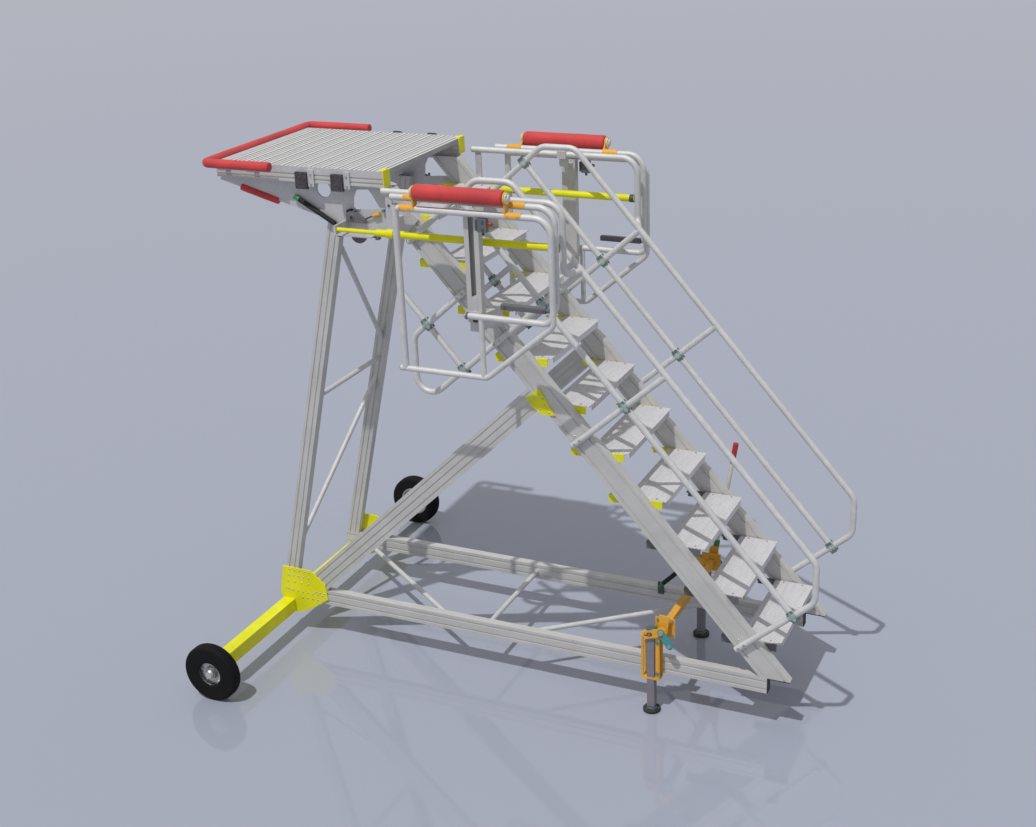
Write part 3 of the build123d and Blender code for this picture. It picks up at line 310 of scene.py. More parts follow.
# A piece built by bmesh operators, riding on a body
def piece(name, build, body, finish, smooth=True):
    bm = bmesh.new()
    build(bm)
    bmesh.ops.recalc_face_normals(bm, faces=bm.faces)
    mesh = bpy.data.meshes.new(name)
    bm.to_mesh(mesh)
    bm.free()
    made = bpy.data.objects.new(name, mesh)
    bpy.context.collection.objects.link(made)
    mesh.materials.append(finishes[finish].material)
    if smooth:
        mesh.shade_smooth()
        mesh.set_sharp_from_angle(angle=math.radians(35))
    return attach(made, body)


# A turn that takes +Z to the given direction, then a move to the given place
def towards(place, direction):
    return Matrix.Translation(Vector(place)) @ Vector(direction).to_track_quat("Z", "Y").to_matrix().to_4x4()


def disc(bm, place, direction, radius, height, segments=24, top=None):
    turn = towards(Vector(place) + Vector(direction).normalized() * height / 2, direction)
    bmesh.ops.create_cone(
        bm, cap_ends=True, segments=segments, radius1=radius,
        radius2=radius if top is None else top, depth=height, matrix=turn,
    )


# A washer and a hexagon head standing on a face
def bolt(bm, place, direction, size=0.006):
    disc(bm, place, direction, size * 1.25, size * 0.22, 16)
    start = Vector(place) + Vector(direction).normalized() * size * 0.22
    disc(bm, start, direction, size, size * 0.75, 6)


def rivet(bm, place, direction, radius=0.006):
    disc(bm, place, direction, radius, radius * 0.5, 12, radius * 0.45)


def block(bm, low, high):
    size = Vector(high) - Vector(low)
    middle = (Vector(high) + Vector(low)) / 2
    bmesh.ops.create_cube(bm, size=1.0, matrix=Matrix.Translation(middle) @ Matrix.Diagonal((*size, 1.0)))


# Sizes and places taken from the CAD nodes, in metres
tyre_low, tyre_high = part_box("tyre_left")
tyre_r = (tyre_high.z - tyre_low.z) / 2
wheel_y = (tyre_high.y + tyre_low.y) / 2
axle_x = (tyre_high.x + tyre_low.x) / 2
hub_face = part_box("hub_left")[1].y
frame_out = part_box("stringers")[1].y
gusset_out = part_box("gusset_plates")[1].y
deck_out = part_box("deck_rails")[1].y
plate_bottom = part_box("side_plates")[0].z
bumper_low, bumper_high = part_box("bumper")
rail_low, rail_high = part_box("handrail_left")
tube_r = (rail_high.y - rail_low.y) / 2
hand_y = (rail_high.y + rail_low.y) / 2
jack_low, jack_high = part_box("jack_brackets")
collar_w = 0.110

# Places that part.py sets and no box gives: X is measured from the axle, Z from the floor
frame_in = 0.362
hoop_y = 0.5425
bar_y, bar_z = 0.545, 2.705
guard_y = 0.692
shaft_x, shaft_z = 2.500, 0.535
spring_y = 0.340
spring_foot, spring_eye = (2.200, 0.352), (2.440, 0.600)

# The stair: the lowest tread's nose, then distances s down the slope and n square to it
rise, going = 0.250, 0.218
nose_x, nose_z = 3.140, 0.524
step_count = 10
slope = math.atan2(rise, going)
along_s = Vector((math.cos(slope), 0, -math.sin(slope)))
along_n = Vector((math.sin(slope), 0, math.cos(slope)))
nose_s = nose_x * math.cos(slope) - nose_z * math.sin(slope)
nose_n = nose_x * math.sin(slope) + nose_z * math.cos(slope)
last_s = nose_s - step_count * math.hypot(rise, going)
post_s = (nose_s - 0.123, nose_s - 1.549, last_s + 1.072, last_s + 0.749, last_s + 0.346)
stringer_n = (nose_n - 0.201, nose_n - 0.071)
knee_n = nose_n - 0.435


# A point s down the stair and n square to it, in the side plane at y
def on_slope(s, n, y):
    place = along_s * s + along_n * n
    return Vector((place.x + axle_x, y, place.z))


# A closed tube along points, drawn out of one circle ring by ring; reach gives its radius along the run
def sweep(bm, points, reach, segments=20):
    points = [Vector(p) for p in points]
    run = 0.0
    across = None
    before = None
    edges = None
    for i, point in enumerate(points):
        ahead = (points[min(i + 1, len(points) - 1)] - points[max(i - 1, 0)]).normalized()
        across = ahead.orthogonal() if across is None else across
        across = (across - ahead * across.dot(ahead)).normalized()
        turn = Matrix((across, ahead.cross(across), ahead)).transposed().to_4x4()
        run += (point - points[i - 1]).length if i else 0.0
        size = reach(run) if callable(reach) else reach
        now = Matrix.Translation(point) @ turn @ Matrix.Diagonal((size, size, size, 1.0))
        if before is None:
            ring = bmesh.ops.create_circle(bm, cap_ends=True, segments=segments, radius=1.0, matrix=now)
            edges = list({edge for vert in ring["verts"] for edge in vert.link_edges})
        else:
            drawn = bmesh.ops.extrude_edge_only(bm, edges=edges)["geom"]
            verts = [part for part in drawn if isinstance(part, bmesh.types.BMVert)]
            fresh = set(verts)
            edges = [
                part for part in drawn
                if isinstance(part, bmesh.types.BMEdge) and fresh.issuperset(part.verts)
            ]
            bmesh.ops.transform(bm, matrix=now @ before.inverted(), verts=verts)
        before = now
    bmesh.ops.edgeloop_fill(bm, edges=edges)


# Points along corners, rounded by the given radius, about one step apart
def rounded(corners, radius, step):
    corners = [Vector(c) for c in corners]
    points = [corners[0]]
    for before, corner, after in zip(corners, corners[1:], corners[2:]):
        a, b = (before - corner).normalized(), (after - corner).normalized()
        half = a.angle(b) / 2
        cut = radius / math.tan(half)
        middle = corner + (a + b).normalized() * radius / math.sin(half)
        start, end = corner + a * cut, corner + b * cut
        fill(points, start, step)
        u, v = start - middle, end - middle
        count = max(3, int(u.angle(v) * radius / step))
        for i in range(1, count + 1):
            points.append(middle + u.slerp(v, i / count, u).normalized() * radius)
    fill(points, corners[-1], step)
    return points


def fill(points, end, step):
    start = points[-1].copy()
    count = max(1, int((end - start).length / step))
    for i in range(1, count + 1):
        points.append(start.lerp(end, i / count))


# The ends of the axle's stubs, outside the hubs, are bare steel
axle = finishes["axle"]
across_axle = axle.axis("Y")
paint = Wire(axle, axle.shader.inputs["Base Color"].links[0].from_socket)
bare = (across_axle * across_axle) > (wheel_y + 0.028) ** 2
axle.set(Base_Color=axle.mix(bare, paint, rgb(0.42, 0.42, 0.41)))


# Rivets on the fan gussets, as rows of (first x, z, count, step), and on the knee gussets
fan_rows = (
    (0.02, 0.44, 5, 0.036), (0.01, 0.40, 5, 0.036), (0.20, 0.31, 3, 0.03), (0.03, 0.295, 7, 0.037),
    (0.10, 0.255, 5, 0.037), (0.0, 0.355, 4, 0.05), (-0.02, 0.30, 2, 0.02),
)
knee_rivets = (
    (1.730, 1.790), (1.755, 1.812), (1.780, 1.836), (1.785, 1.750), (1.812, 1.775), (1.835, 1.735),
)


def gusset_rivets(bm):
    places = [(x + i * step, z) for x, z, count, step in fan_rows for i in range(count)]
    for x, z in (*places, *knee_rivets):
        for side in (-1, 1):
            rivet(bm, (axle_x + x, side * gusset_out, z), (0, side, 0), 0.0065)


piece("gusset_rivets", gusset_rivets, "base", "zinc")


# Cap, bolts and valve on each hub; the web is the hub's dished face
def hub_fittings(side):
    web, bolt_ring, bolt_count = side * (wheel_y + 0.012), 0.064, 5

    def build(bm):
        disc(bm, (axle_x, side * hub_face, tyre_r), (0, side, 0), 0.030, 0.010, 32, 0.024)
        for i in range(bolt_count):
            angle = math.tau * i / bolt_count
            across, up = bolt_ring * math.sin(angle), bolt_ring * math.cos(angle)
            bolt(bm, (axle_x + across, web - side * 0.0005, tyre_r + up), (0, side, 0), 0.008)
        disc(bm, (axle_x + 0.036, web, tyre_r + 0.048), (0, side, 0), 0.004, 0.022, 10)
    return build


# The tyre's side wall, drawn in over the rim's edge: its section, as (radius, distance from mid wheel)
def tyre_bead(side):
    section = (
        (0.102, 0.030), (0.101, 0.0375), (0.088, 0.0375), (0.076, 0.035), (0.072, 0.031), (0.076, 0.028),
    )

    def build(bm):
        verts = [bm.verts.new((axle_x, side * (wheel_y + y), tyre_r + r)) for r, y in section]
        edges = [bm.edges.new(pair) for pair in zip(verts, verts[1:] + verts[:1])]
        bmesh.ops.spin(
            bm, geom=verts + edges, cent=(axle_x, 0, tyre_r), axis=(0, 1, 0), angle=math.tau, steps=72,
            use_merge=True,
        )
    return build


for name, side in sides:
    piece("hub_cap_" + name, hub_fittings(side), "wheel_" + name, "zinc")
    piece("tyre_bead_" + name, tyre_bead(side), "wheel_" + name, "tyre")


# Radius along a foam piece: soft round ends, shallow waves, and seams between the lengths of foam
def foam_reach(base, seam, total, rim):
    wave = 0.0006

    def reach(run):
        near_seam = min(run % seam, seam - run % seam)
        notch = 0.0014 * math.exp(-((near_seam / 0.003) ** 2))
        swell = wave * (math.sin(run * 23.0) + math.sin(run * 9.0 + 1.0)) / 2 - wave
        near_end = min(run, total - run)
        ease = 1.0 if near_end > rim else 0.78 + 0.22 * math.sqrt(1 - (1 - near_end / rim) ** 2)
        return (base - notch + swell) * ease
    return reach


def foam_piece(name, node, points, base, seam, body, rim=0.006):
    total = sum((b - a).length for a, b in zip(points, points[1:]))
    reach = foam_reach(base, seam, total, rim)
    made = piece(name, lambda bm: sweep(bm, points, reach, 40), body, "foam")
    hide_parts(node)


# The run's points, set closer at its two ends where the foam rounds off
def with_ends(points):
    first = (points[1] - points[0]).normalized()
    last = (points[-2] - points[-1]).normalized()
    steps = (0.0, 0.0006, 0.0015, 0.003, 0.005)
    head = [points[0] + first * d for d in steps]
    tail = [points[-1] + last * d for d in reversed(steps)]
    inner = [p for p in points if min((p - points[0]).length, (p - points[-1]).length) > 0.006]
    return head + inner + tail


bumper_r = (bumper_high.z - bumper_low.z) / 2
bumper_y = bumper_high.y - bumper_r
bumper_z = (bumper_high.z + bumper_low.z) / 2
bumper_corners = [
    (bumper_high.x, -bumper_y, bumper_z), (bumper_low.x + bumper_r, -bumper_y, bumper_z),
    (bumper_low.x + bumper_r, bumper_y, bumper_z), (bumper_high.x, bumper_y, bumper_z),
]
foam_step = 0.006
bumper_line = with_ends(rounded(bumper_corners, 0.030, foam_step))
foam_piece("bumper_foam", "bumper", bumper_line, bumper_r, 0.5, "base")
for name, side in sides:
    low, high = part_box("roller_" + name)
    middle = (low + high) / 2
    roll_r = (high.z - low.z) / 2
    ends = [Vector((x, middle.y, middle.z)) for x in (low.x + 0.018, high.x - 0.018)]
    line = [ends[0]]
    fill(line, ends[1], foam_step)
    foam_piece(
        "roller_foam_" + name, "roller_" + name, with_ends(line), roll_r, 0.25, "roll_" + name, 0.009
    )


# Foam sleeve slit along its top, hugging the plate's lower edge
def sleeve_build(bm):
    low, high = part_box("edge_sleeves")
    thick, half_slit, arc_steps = 0.0213, 0.0053, 27
    slit = math.radians(16)
    for side in (-1, 1):
        y = side * (frame_out + 0.005)
        start = Vector((low.x + 0.010, y, high.z - 0.0205))
        end = Vector((high.x - 0.010, y, low.z + 0.0205))
        line = [start]
        fill(line, end, foam_step)
        across = Vector((0, side, 0))
        up = (end - start).normalized().cross(across)
        up = up if up.z > 0 else -up
        turns = [
            math.pi / 2 + slit + (math.tau - 2 * slit) * j / arc_steps for j in range(arc_steps + 1)
        ]
        corners = [start + thick * (across * math.cos(a) + up * math.sin(a)) for a in turns]
        corners += [start + across * half_slit, start - across * half_slit]
        face = bm.faces.new([bm.verts.new(corner) for corner in corners])
        size = 1.0
        for i, point in enumerate(line[1:], 1):
            near = min(i, len(line) - 1 - i)
            target = (1.0 if near > 1 else 0.90 + 0.05 * near) + 0.012 * math.sin(i * 0.31)
            drawn = bmesh.ops.extrude_face_region(bm, geom=[face])["geom"]
            if i > 1:
                bmesh.ops.delete(bm, geom=[face], context="FACES_ONLY")
            face = next(part for part in drawn if isinstance(part, bmesh.types.BMFace))
            verts = list(face.verts)
            bmesh.ops.translate(bm, vec=point - line[i - 1], verts=verts)
            bmesh.ops.scale(
                bm, vec=(target / size,) * 3, space=Matrix.Translation(-point), verts=verts
            )
            size = target


sleeves = piece("edge_foam", sleeve_build, "base", "foam")
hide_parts("edge_sleeves")


# Flanged bearings at the ends of the rollers
def bearings(name):
    low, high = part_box("roller_" + name)
    middle = (low + high) / 2
    bolt_ring = 0.0255

    def build(bm):
        for x, way in ((low.x + 0.006, -1), (high.x - 0.006, 1)):
            disc(bm, (x, middle.y, middle.z), (way, 0, 0), 0.030, 0.007, 28)
            disc(bm, (x + way * 0.007, middle.y, middle.z), (way, 0, 0), 0.022, 0.010, 28, 0.015)
            for angle in (0.8, 2.35, 3.9, 5.5):
                across, up = bolt_ring * math.cos(angle), bolt_ring * math.sin(angle)
                bolt(bm, (x + way * 0.0065, middle.y + across, middle.z + up), (way, 0, 0), 0.0045)
    return build


# Bolts along the two straps of each roller
def strap_bolts(name):
    low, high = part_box("roller_brackets_" + name)
    sign = 1 if high.y > 0 else -1
    front = sign * (max(abs(low.y), abs(high.y)) - 0.0045)

    def build(bm):
        for x0, way in ((low.x + 0.013, 1), (high.x - 0.013, -1)):
            for step in (0.0, 0.055):
                bolt(bm, (x0 + way * step, front, low.z + 0.008), (0, sign, 0), 0.005)
    return build


for name, side in sides:
    piece("bearings_" + name, bearings(name), "guard_" + name, "cream")
    piece("strap_bolts_" + name, strap_bolts(name), "guard_" + name, "zinc")


# Red knob on each guard's latch box
def latch_knob(name, side):
    low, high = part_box("guard_fittings_" + name)

    def build(bm):
        place = Vector((low.x + 0.050, side * guard_y, high.z - 0.030))
        disc(bm, place, (1, 0, 0), 0.006, 0.014, 16)
        disc(bm, place + Vector((0.014, 0, 0)), (1, 0, 0), 0.010, 0.013, 24, 0.0085)
    return build


# Catch plate, bolts and pin of the latch box, and the bolts of the damper bar
def latch_plates(name, side):
    low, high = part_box("guard_fittings_" + name)

    def build(bm):
        x, y, z = low.x + 0.025, side * guard_y, high.z
        block(bm, (x - 0.036, y - 0.0175, z - 0.066), (x - 0.025, y + 0.0175, z - 0.010))
        for dz in (0.018, 0.058):
            bolt(bm, (x + 0.004, y + side * 0.015, z - dz), (0, side, 0), 0.0055)
        disc(bm, (x, y, z - 0.074), (0, 0, -1), 0.007, 0.016, 16)
        for dx in (0.245, 0.03):
            bolt(bm, (high.x - dx, y + side * 0.015, low.z + 0.017), (0, side, 0), 0.005)
    return build


for name, side in sides:
    piece("latch_knob_" + name, latch_knob(name, side), "guard_" + name, "red")
    piece(
        "latch_plates_" + name, latch_plates(name, side), "guard_" + name, "dark", smooth=False
    )


# Plugs in the open ends of tubes
def plug(bm, place, direction, radius):
    disc(bm, place, direction, radius * 0.97, 0.004, 24, radius * 0.82)


def tube_plugs(bm):
    for side in (-1, 1):
        for s in (post_s[0], post_s[1], post_s[4]):
            plug(bm, on_slope(s, stringer_n[0] + 0.005, side * hand_y), -along_n, tube_r)
        low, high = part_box("hoop_left" if side > 0 else "hoop_right")
        plug(bm, (low.x, side * hoop_y, high.z - tube_r), (-1, 0, 0), tube_r)
        plug(bm, on_slope(post_s[3] - 0.220, knee_n, side * hand_y), -along_s, tube_r)


piece("tube_plugs", tube_plugs, "base", "grey")


def guard_plugs(name, side):
    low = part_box("guard_frame_" + name)[0]
    slide_low, slide_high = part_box("guard_slide_" + name)
    guide_x, guide_z = (slide_low.x + slide_high.x) / 2 - 0.042, slide_low.z + 0.018
    y = side * guard_y

    def build(bm):
        plug(bm, (low.x, side * 0.640, 2.936), (-1, 0, 0), tube_r)
        plug(bm, (low.x + 0.022, y, 2.007), (-1, 0, 0), tube_r * 0.9)
        plug(bm, (low.x + 0.052, y, 2.9125), (0, 0, 1), tube_r)
        plug(bm, (guide_x, y, guide_z), (-1, 0, 0), tube_r)
        sweep(bm, [(guide_x + d, y, guide_z) for d in (0.004, 0.018)], tube_r + 0.0015, 24)
    return build


for name, side in sides:
    piece("guard_plugs_" + name, guard_plugs(name, side), "guard_" + name, "grey")


# Bolts through the feet of the handrail posts, and rivets beside them
def foot_bolts(bm):
    for side in (-1, 1):
        for s in post_s:
            for n in (stringer_n[0] + 0.028, stringer_n[1] - 0.062):
                bolt(bm, on_slope(s, n, side * (hand_y + tube_r - 0.001)), (0, side, 0), 0.0065)
            for shift in (-0.034, 0.034):
                rivet(bm, on_slope(s + shift, stringer_n[0] + 0.045, side * frame_out), (0, side, 0), 0.0065)


# Where rails and posts cross, each with a clamp: its ears lie apart along the slope and across the tube
crossings = [(s, nose_n + 0.214) for s in (post_s[0], post_s[1], post_s[2], post_s[4])]
crossings += [(post_s[3], knee_n), (post_s[2], knee_n)]
ear_apart, ear_across = 0.026, 0.0145


def clamp_bolts(bm):
    for side in (-1, 1):
        for s, n in crossings:
            for ds in (-ear_apart, ear_apart):
                bolt(bm, on_slope(s + ds, n + 0.004, side * (hand_y + 0.0175)), (0, side, 0), 0.0055)


def clamp_ears(bm):
    turn = Matrix((along_s, Vector((0, 1, 0)), along_n)).transposed().to_4x4()
    size = Matrix.Diagonal((0.016, 0.009, 0.036, 1))
    for side in (-1, 1):
        for s, n in crossings:
            for ds in (-ear_apart, ear_apart):
                for dy in (-ear_across, ear_across):
                    middle = Matrix.Translation(on_slope(s + ds, n, side * hand_y + dy))
                    bmesh.ops.create_cube(bm, size=1.0, matrix=middle @ turn @ size)


piece("foot_bolts", foot_bolts, "base", "zinc")
piece("clamp_ears", clamp_ears, "base", "clamp_dark", smooth=False)
piece("clamp_bolts", clamp_bolts, "base", "zinc")


# Bolts at the corners of the jack brackets' two collars
def jack_bolts(bm):
    x0, x1 = jack_low.x, jack_low.x + collar_w
    low_z = jack_low.z + 0.012
    for side in (-1, 1):
        for z in (low_z, low_z + 0.265):
            for x in (x0 + 0.013, x1 - 0.013):
                for y in (jack_high.y - 0.014, frame_out + 0.018):
                    disc(bm, (x, side * y, z), (0, 0, 1), 0.0065, 0.005, 6)


# Bolts at three corners of each shaft flange
def shaft_bolts(bm):
    off = 0.043
    for side in (-1, 1):
        for dx, dz in ((-off, off), (off, -off), (off, off)):
            place = (axle_x + shaft_x + dx, side * (frame_out + 0.006), shaft_z + dz)
            bolt(bm, place, (0, side, 0), 0.0065)


# Pins through the straps between the collars
def strap_pins(bm):
    x = jack_low.x + collar_w - 0.013
    for side in (-1, 1):
        for z in (jack_low.z + 0.245, jack_low.z + 0.045):
            disc(bm, (x, side * jack_high.y, z), (0, side, 0), 0.0105, 0.004, 20)
            disc(bm, (x, side * (jack_high.y + 0.004), z), (0, side, 0), 0.006, 0.005, 6)


piece("jack_bolts", jack_bolts, "base", "orange")
piece("shaft_bolts", shaft_bolts, "base", "zinc")
piece("strap_pins", strap_pins, "base", "teal")


# Nuts on the shaft ends, and the pin through each link
def lever_fittings(bm):
    shaft_low, shaft_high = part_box("cross_shaft")
    link_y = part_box("shaft_links")[1].y
    link, drop = 0.088, math.radians(55.0)
    x = axle_x + shaft_x
    for side in (-1, 1):
        end = shaft_high.y if side > 0 else -shaft_low.y
        disc(bm, (x, side * end, shaft_z), (0, side, 0), 0.0135, 0.005, 6)
        far = (x + link * math.cos(drop), side * link_y, shaft_z - link * math.sin(drop))
        bolt(bm, far, (0, side, 0), 0.009)


piece("lever_fittings", lever_fittings, "lever", "zinc")


# Clevis where the hand lever meets its arm
def lever_clevis(bm):
    lean = math.radians(9.3)
    up = Vector((math.sin(lean), 0, math.cos(lean)))
    low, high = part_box("hand_lever")
    base = Vector((axle_x + shaft_x, (low.y + high.y) / 2, shaft_z)) + up * 0.064
    disc(bm, base, up, 0.0185, 0.060, 24)
    disc(bm, base + up * 0.060, up, 0.0185, 0.010, 24, 0.0125)


piece("lever_clevis", lever_clevis, "lever", "green")


# Forks at the two ends of the low gas spring
spring_ends = [Vector((axle_x + x, spring_y, z)) for x, z in (spring_foot, spring_eye)]
spring_way = (spring_ends[1] - spring_ends[0]).normalized()


def spring_foot_fork(bm):
    foot = spring_ends[0]
    disc(bm, foot + spring_way * 0.010, spring_way, 0.0125, 0.026, 20, 0.0105)
    disc(bm, foot + Vector((0, -0.0095, 0)), (0, -1, 0), 0.0115, 0.004, 20)


def spring_top_fork(bm):
    disc(bm, spring_ends[1] - spring_way * 0.034, spring_way, 0.0085, 0.026, 20, 0.0115)


piece("spring_fork", spring_foot_fork, "spring_body", "green")
piece("spring_eye_fork", spring_top_fork, "spring_piston", "green")


# Forks at the upper ends of the deck struts
def strut_forks(bm):
    for side in (-1, 1):
        upper = Vector((axle_x + 0.345, side * (frame_out + 0.025), 2.838))
        lower = Vector((axle_x + 0.600, side * (frame_out + 0.025), 2.697))
        way = (lower - upper).normalized()
        disc(bm, upper - way * 0.010, way, 0.0115, 0.034, 20, 0.0135)
        disc(bm, upper + Vector((0, side * 0.005, 0)), (0, side, 0), 0.0105, 0.006, 20)


piece("strut_forks", strut_forks, "base", "green")


# Deck latches: rounded housings with their studs
latch_face = frame_out + 0.010
latch_outline = (
    (0.667, 2.722), (0.787, 2.722), (0.782, 2.736), (0.768, 2.748), (0.748, 2.764), (0.732, 2.778),
    (0.712, 2.786), (0.692, 2.785), (0.676, 2.777), (0.668, 2.764), (0.665, 2.744),
)
latch_x, latch_z = 0.704, 2.752


def latch_housings(bm):
    for side in (-1, 1):
        verts = [bm.verts.new((axle_x + x, side * (latch_face + 0.001), z)) for x, z in latch_outline]
        drawn = bmesh.ops.extrude_face_region(bm, geom=[bm.faces.new(verts)])["geom"]
        moved = [part for part in drawn if isinstance(part, bmesh.types.BMVert)]
        bmesh.ops.translate(bm, vec=(0, side * 0.026, 0), verts=moved)
        disc(bm, (axle_x + 0.718, side * (latch_face + 0.016), 2.786), (0, 0, 1), 0.007, 0.016, 16)
        hub = (axle_x + latch_x, side * (latch_face + 0.027), latch_z)
        disc(bm, hub, (0, side, 0), 0.020, 0.004, 28, 0.017)


# The short rod of each latch, the orange grip that ends it, and two pin ends behind
def latch_rods(bm):
    for side in (-1, 1):
        y = side * (latch_face + 0.012)
        sweep(bm, [(axle_x + 0.784, y, 2.744), (axle_x + 0.835, y, 2.767)], 0.004, 14)
        hub = (axle_x + latch_x, side * (latch_face + 0.031), latch_z)
        disc(bm, hub, (0, side, 0), 0.008, 0.004, 6)


def latch_grips(bm):
    for side in (-1, 1):
        y = side * (latch_face + 0.012)
        sweep(bm, [(axle_x + 0.832, y, 2.765), (axle_x + 0.876, y, 2.778)], 0.0105, 16)


def latch_ends(bm):
    for side in (-1, 1):
        disc(bm, (axle_x + 0.896, side * latch_face, 2.797), (0, side, 0), 0.008, 0.018, 16)
        disc(bm, (axle_x + 0.916, side * latch_face, 2.807), (0, side, 0), 0.006, 0.018, 16)


piece("latch_housings", latch_housings, "base", "steel_grey")
piece("latch_rods", latch_rods, "base", "black")
piece("latch_grips", latch_grips, "base", "orange")
piece("latch_ends", latch_ends, "base", "teal")


# Lock bars under the flanges of the side plates, each with a half-round cam
def lock_bars(bm):
    top, cam_r = plate_bottom - 0.0002, 0.050
    for side in (-1, 1):
        y = side * (frame_out + 0.004)
        block(bm, (axle_x + 0.590, y - 0.012, top - 0.012), (axle_x + 0.845, y + 0.012, top))
        block(bm, (axle_x + 0.588, y - 0.014, top - 0.022), (axle_x + 0.616, y + 0.014, top))
        block(bm, (axle_x + 0.832, y - 0.014, top - 0.022), (axle_x + 0.852, y + 0.014, top))
        cam = bmesh.ops.create_cone(
            bm, cap_ends=True, segments=40, radius1=cam_r, radius2=cam_r, depth=0.012,
            matrix=towards((axle_x + 0.722, y, top - 0.002), (0, side, 0)),
        )["verts"]
        around = list({face for vert in cam for face in vert.link_faces})
        edges = list({edge for vert in cam for edge in vert.link_edges})
        cut = bmesh.ops.bisect_plane(
            bm, geom=cam + edges + around, plane_co=(0, 0, top), plane_no=(0, 0, 1), clear_outer=True
        )["geom_cut"]
        bmesh.ops.edgeloop_fill(bm, edges=[part for part in cut if isinstance(part, bmesh.types.BMEdge)])


piece("lock_bars", lock_bars, "base", "steel_grey", smooth=False)


# Fasteners about the deck: in the rails, along the side plates' feet, on the bumper's strips, and rivets
def deck_bolts(bm):
    plate_out = frame_out + 0.010
    for side in (-1, 1):
        for x in (0.488, 0.715):
            for z in (2.985, 2.932):
                bolt(bm, (axle_x + x, side * (deck_out + 0.008), z), (0, side, 0), 0.0055)
        for x in (0.62, 0.78, 0.84, 1.00):
            bolt(bm, (axle_x + x, side * plate_out, 2.672), (0, side, 0), 0.006)
        for x in (-0.060, 0.130):
            bolt(bm, (axle_x + x, side * (deck_out + 0.018), bumper_low.z - 0.0003), (0, 0, 1), 0.005)
        for x in (0.02, 0.16, 0.30, 0.90, 0.93):
            rivet(bm, (axle_x + x, side * plate_out, 2.926), (0, side, 0), 0.005)


piece("deck_bolts", deck_bolts, "base", "zinc")


# Dark grab knobs that stand above the left edge of the deck
def edge_knobs(bm):
    y, foot_z, top_z = 0.488, 3.004, 3.026
    for x in (axle_x + 0.456, axle_x + 0.690):
        line = [(x, y, foot_z), (x + 0.012, y, top_z), (x + 0.062, y, top_z), (x + 0.074, y, foot_z)]
        sweep(bm, rounded(line, 0.008, 0.004), 0.0062, 14)


piece("edge_knobs", edge_knobs, "base", "black")


# Two bolts on top of each tread's end, and two through its bracket into the stringer
def bracket_bolts(bm):
    for i in range(step_count):
        nose, top = axle_x + nose_x - i * going, nose_z + i * rise
        for side in (-1, 1):
            for x in (nose - 0.060, nose - 0.170):
                bolt(bm, (x, side * 0.335, top), (0, 0, 1), 0.0045)
            for x in (nose - 0.10, nose - 0.29):
                bolt(bm, (x, side * (frame_in - 0.006), top - 0.026), (0, -side, 0), 0.0055)


piece("bracket_bolts", bracket_bolts, "base", "zinc")


# A collar at the far end of each bar's tube, and a bolt in its hanger
def bar_fittings(bm):
    end_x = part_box("bar_tubes")[1].x
    for side in (-1, 1):
        disc(bm, (end_x - 0.028, side * bar_y, bar_z), (1, 0, 0), 0.0225, 0.026, 24)
        bolt(bm, (axle_x + 0.999, side * 0.5465, 2.860), (0, side, 0), 0.006)


piece("bar_fittings", bar_fittings, "base", "dark")


# Sleeves that grip the bars inside their hangers, with a small bevel at both ends
def bar_sleeves(bm):
    low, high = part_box("bar_tubes")
    tube = (high.z - low.z) / 2
    grip_r, length = tube + 0.0052, 0.042
    start, bevel = axle_x + 0.978, 0.0005
    runs = (0.0, bevel, length - bevel, length)

    def reach(run):
        return grip_r if 0.0002 < run < length - 0.0002 else grip_r - 0.003

    for side in (-1, 1):
        points = [(start + run, side * (high.y - tube), (high.z + low.z) / 2) for run in runs]
        sweep(bm, points, reach, 32)


piece("bar_sleeves", bar_sleeves, "base", "yellow")


# Neck rings with bolts above the feet of the jacks
def foot_neck(name):
    low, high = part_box("jack_foot_" + name)
    middle = (low + high) / 2
    bolt_ring, bolt_count, ring_z = 0.040, 6, 0.020

    def build(bm):
        disc(bm, (middle.x, middle.y, ring_z), (0, 0, 1), 0.030, 0.010, 28, 0.024)
        for i in range(bolt_count):
            angle = math.tau * i / bolt_count
            x, y = middle.x + bolt_ring * math.cos(angle), middle.y + bolt_ring * math.sin(angle)
            disc(bm, (x, y, ring_z - 0.0002), (0, 0, 1), 0.004, 0.002, 12)
    return build


# Domed caps on the legs
def leg_cap(name):
    low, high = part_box("jack_leg_" + name)
    middle = (low + high) / 2

    def build(bm):
        disc(bm, (middle.x, middle.y, high.z), (0, 0, 1), (high.y - low.y) / 2 - 0.004, 0.005, 28, 0.012)
    return build


for name, side in sides:
    piece("foot_neck_" + name, foot_neck(name), "leg_" + name, "neck")
    piece("leg_cap_" + name, leg_cap(name), "leg_" + name, "neck")


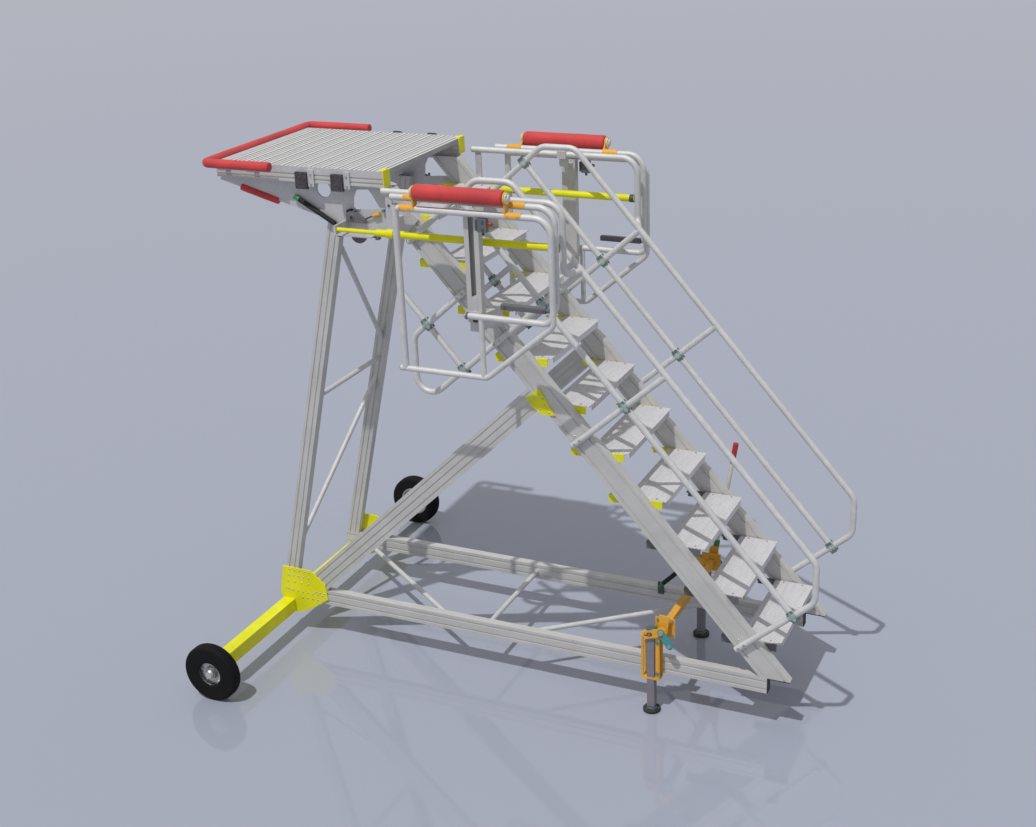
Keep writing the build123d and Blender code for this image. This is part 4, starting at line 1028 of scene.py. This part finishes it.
# A plain pale floor, smooth enough to mirror the stand faintly
floor_bm = bmesh.new()
bmesh.ops.create_grid(floor_bm, x_segments=1, y_segments=1, size=90.0)
floor_mesh = bpy.data.meshes.new("floor")
floor_bm.to_mesh(floor_mesh)
floor_bm.free()
floor = bpy.data.objects.new("floor", floor_mesh)
bpy.context.collection.objects.link(floor)
floor_finish = Finish("studio_floor")
floor_finish.set(Base_Color=rgb(0.335, 0.355, 0.425), Roughness=0.05, IOR=1.6)
floor_mesh.materials.append(floor_finish.material)

# The camera as solved on the photograph: its place, its turn to the left, its tilt down and its roll
camera_place = Vector((4.924 + axle_x, -7.271, 4.759))
camera_yaw = math.radians(25.55)
camera_pitch = math.radians(21.9)
camera_roll = math.radians(-2.39)
focal_px, frame_px, sensor_mm = 1487.6, 1036, 36.0
ahead = Vector((
    -math.sin(camera_yaw) * math.cos(camera_pitch),
    math.cos(camera_yaw) * math.cos(camera_pitch),
    -math.sin(camera_pitch),
))
right = Vector((math.cos(camera_yaw), math.sin(camera_yaw), 0.0))
above = right.cross(ahead)
across = math.cos(camera_roll) * right + math.sin(camera_roll) * above
upward = -math.sin(camera_roll) * right + math.cos(camera_roll) * above

camera_data = bpy.data.cameras.new("photo_camera")
camera = bpy.data.objects.new("photo_camera", camera_data)
bpy.context.collection.objects.link(camera)
camera_data.sensor_fit = "HORIZONTAL"
camera_data.sensor_width = sensor_mm
camera_data.lens = sensor_mm * focal_px / frame_px
camera_data.clip_end = 400.0
turn = Matrix((across, upward, -ahead)).transposed().to_4x4()
camera.matrix_world = Matrix.Translation(camera_place) @ turn
bpy.context.scene.camera = camera

# A small bright lamp from the near side, and an even pale room
sun_data = bpy.data.lights.new("key", "SUN")
sun_data.energy = 2.3
sun_data.angle = math.radians(0.9)
sun = bpy.data.objects.new("key", sun_data)
bpy.context.collection.objects.link(sun)
sun.matrix_world = towards((0, 0, 8), (-0.10, -0.49, 1.0))

world = bpy.data.worlds.new("studio")
bpy.context.scene.world = world
world.use_nodes = True
sky = world.node_tree.nodes["Background"]
sky.inputs["Color"].default_value = (0.66, 0.67, 0.71, 1.0)
sky.inputs["Strength"].default_value = 0.75

bpy.context.scene.view_settings.view_transform = "Standard"
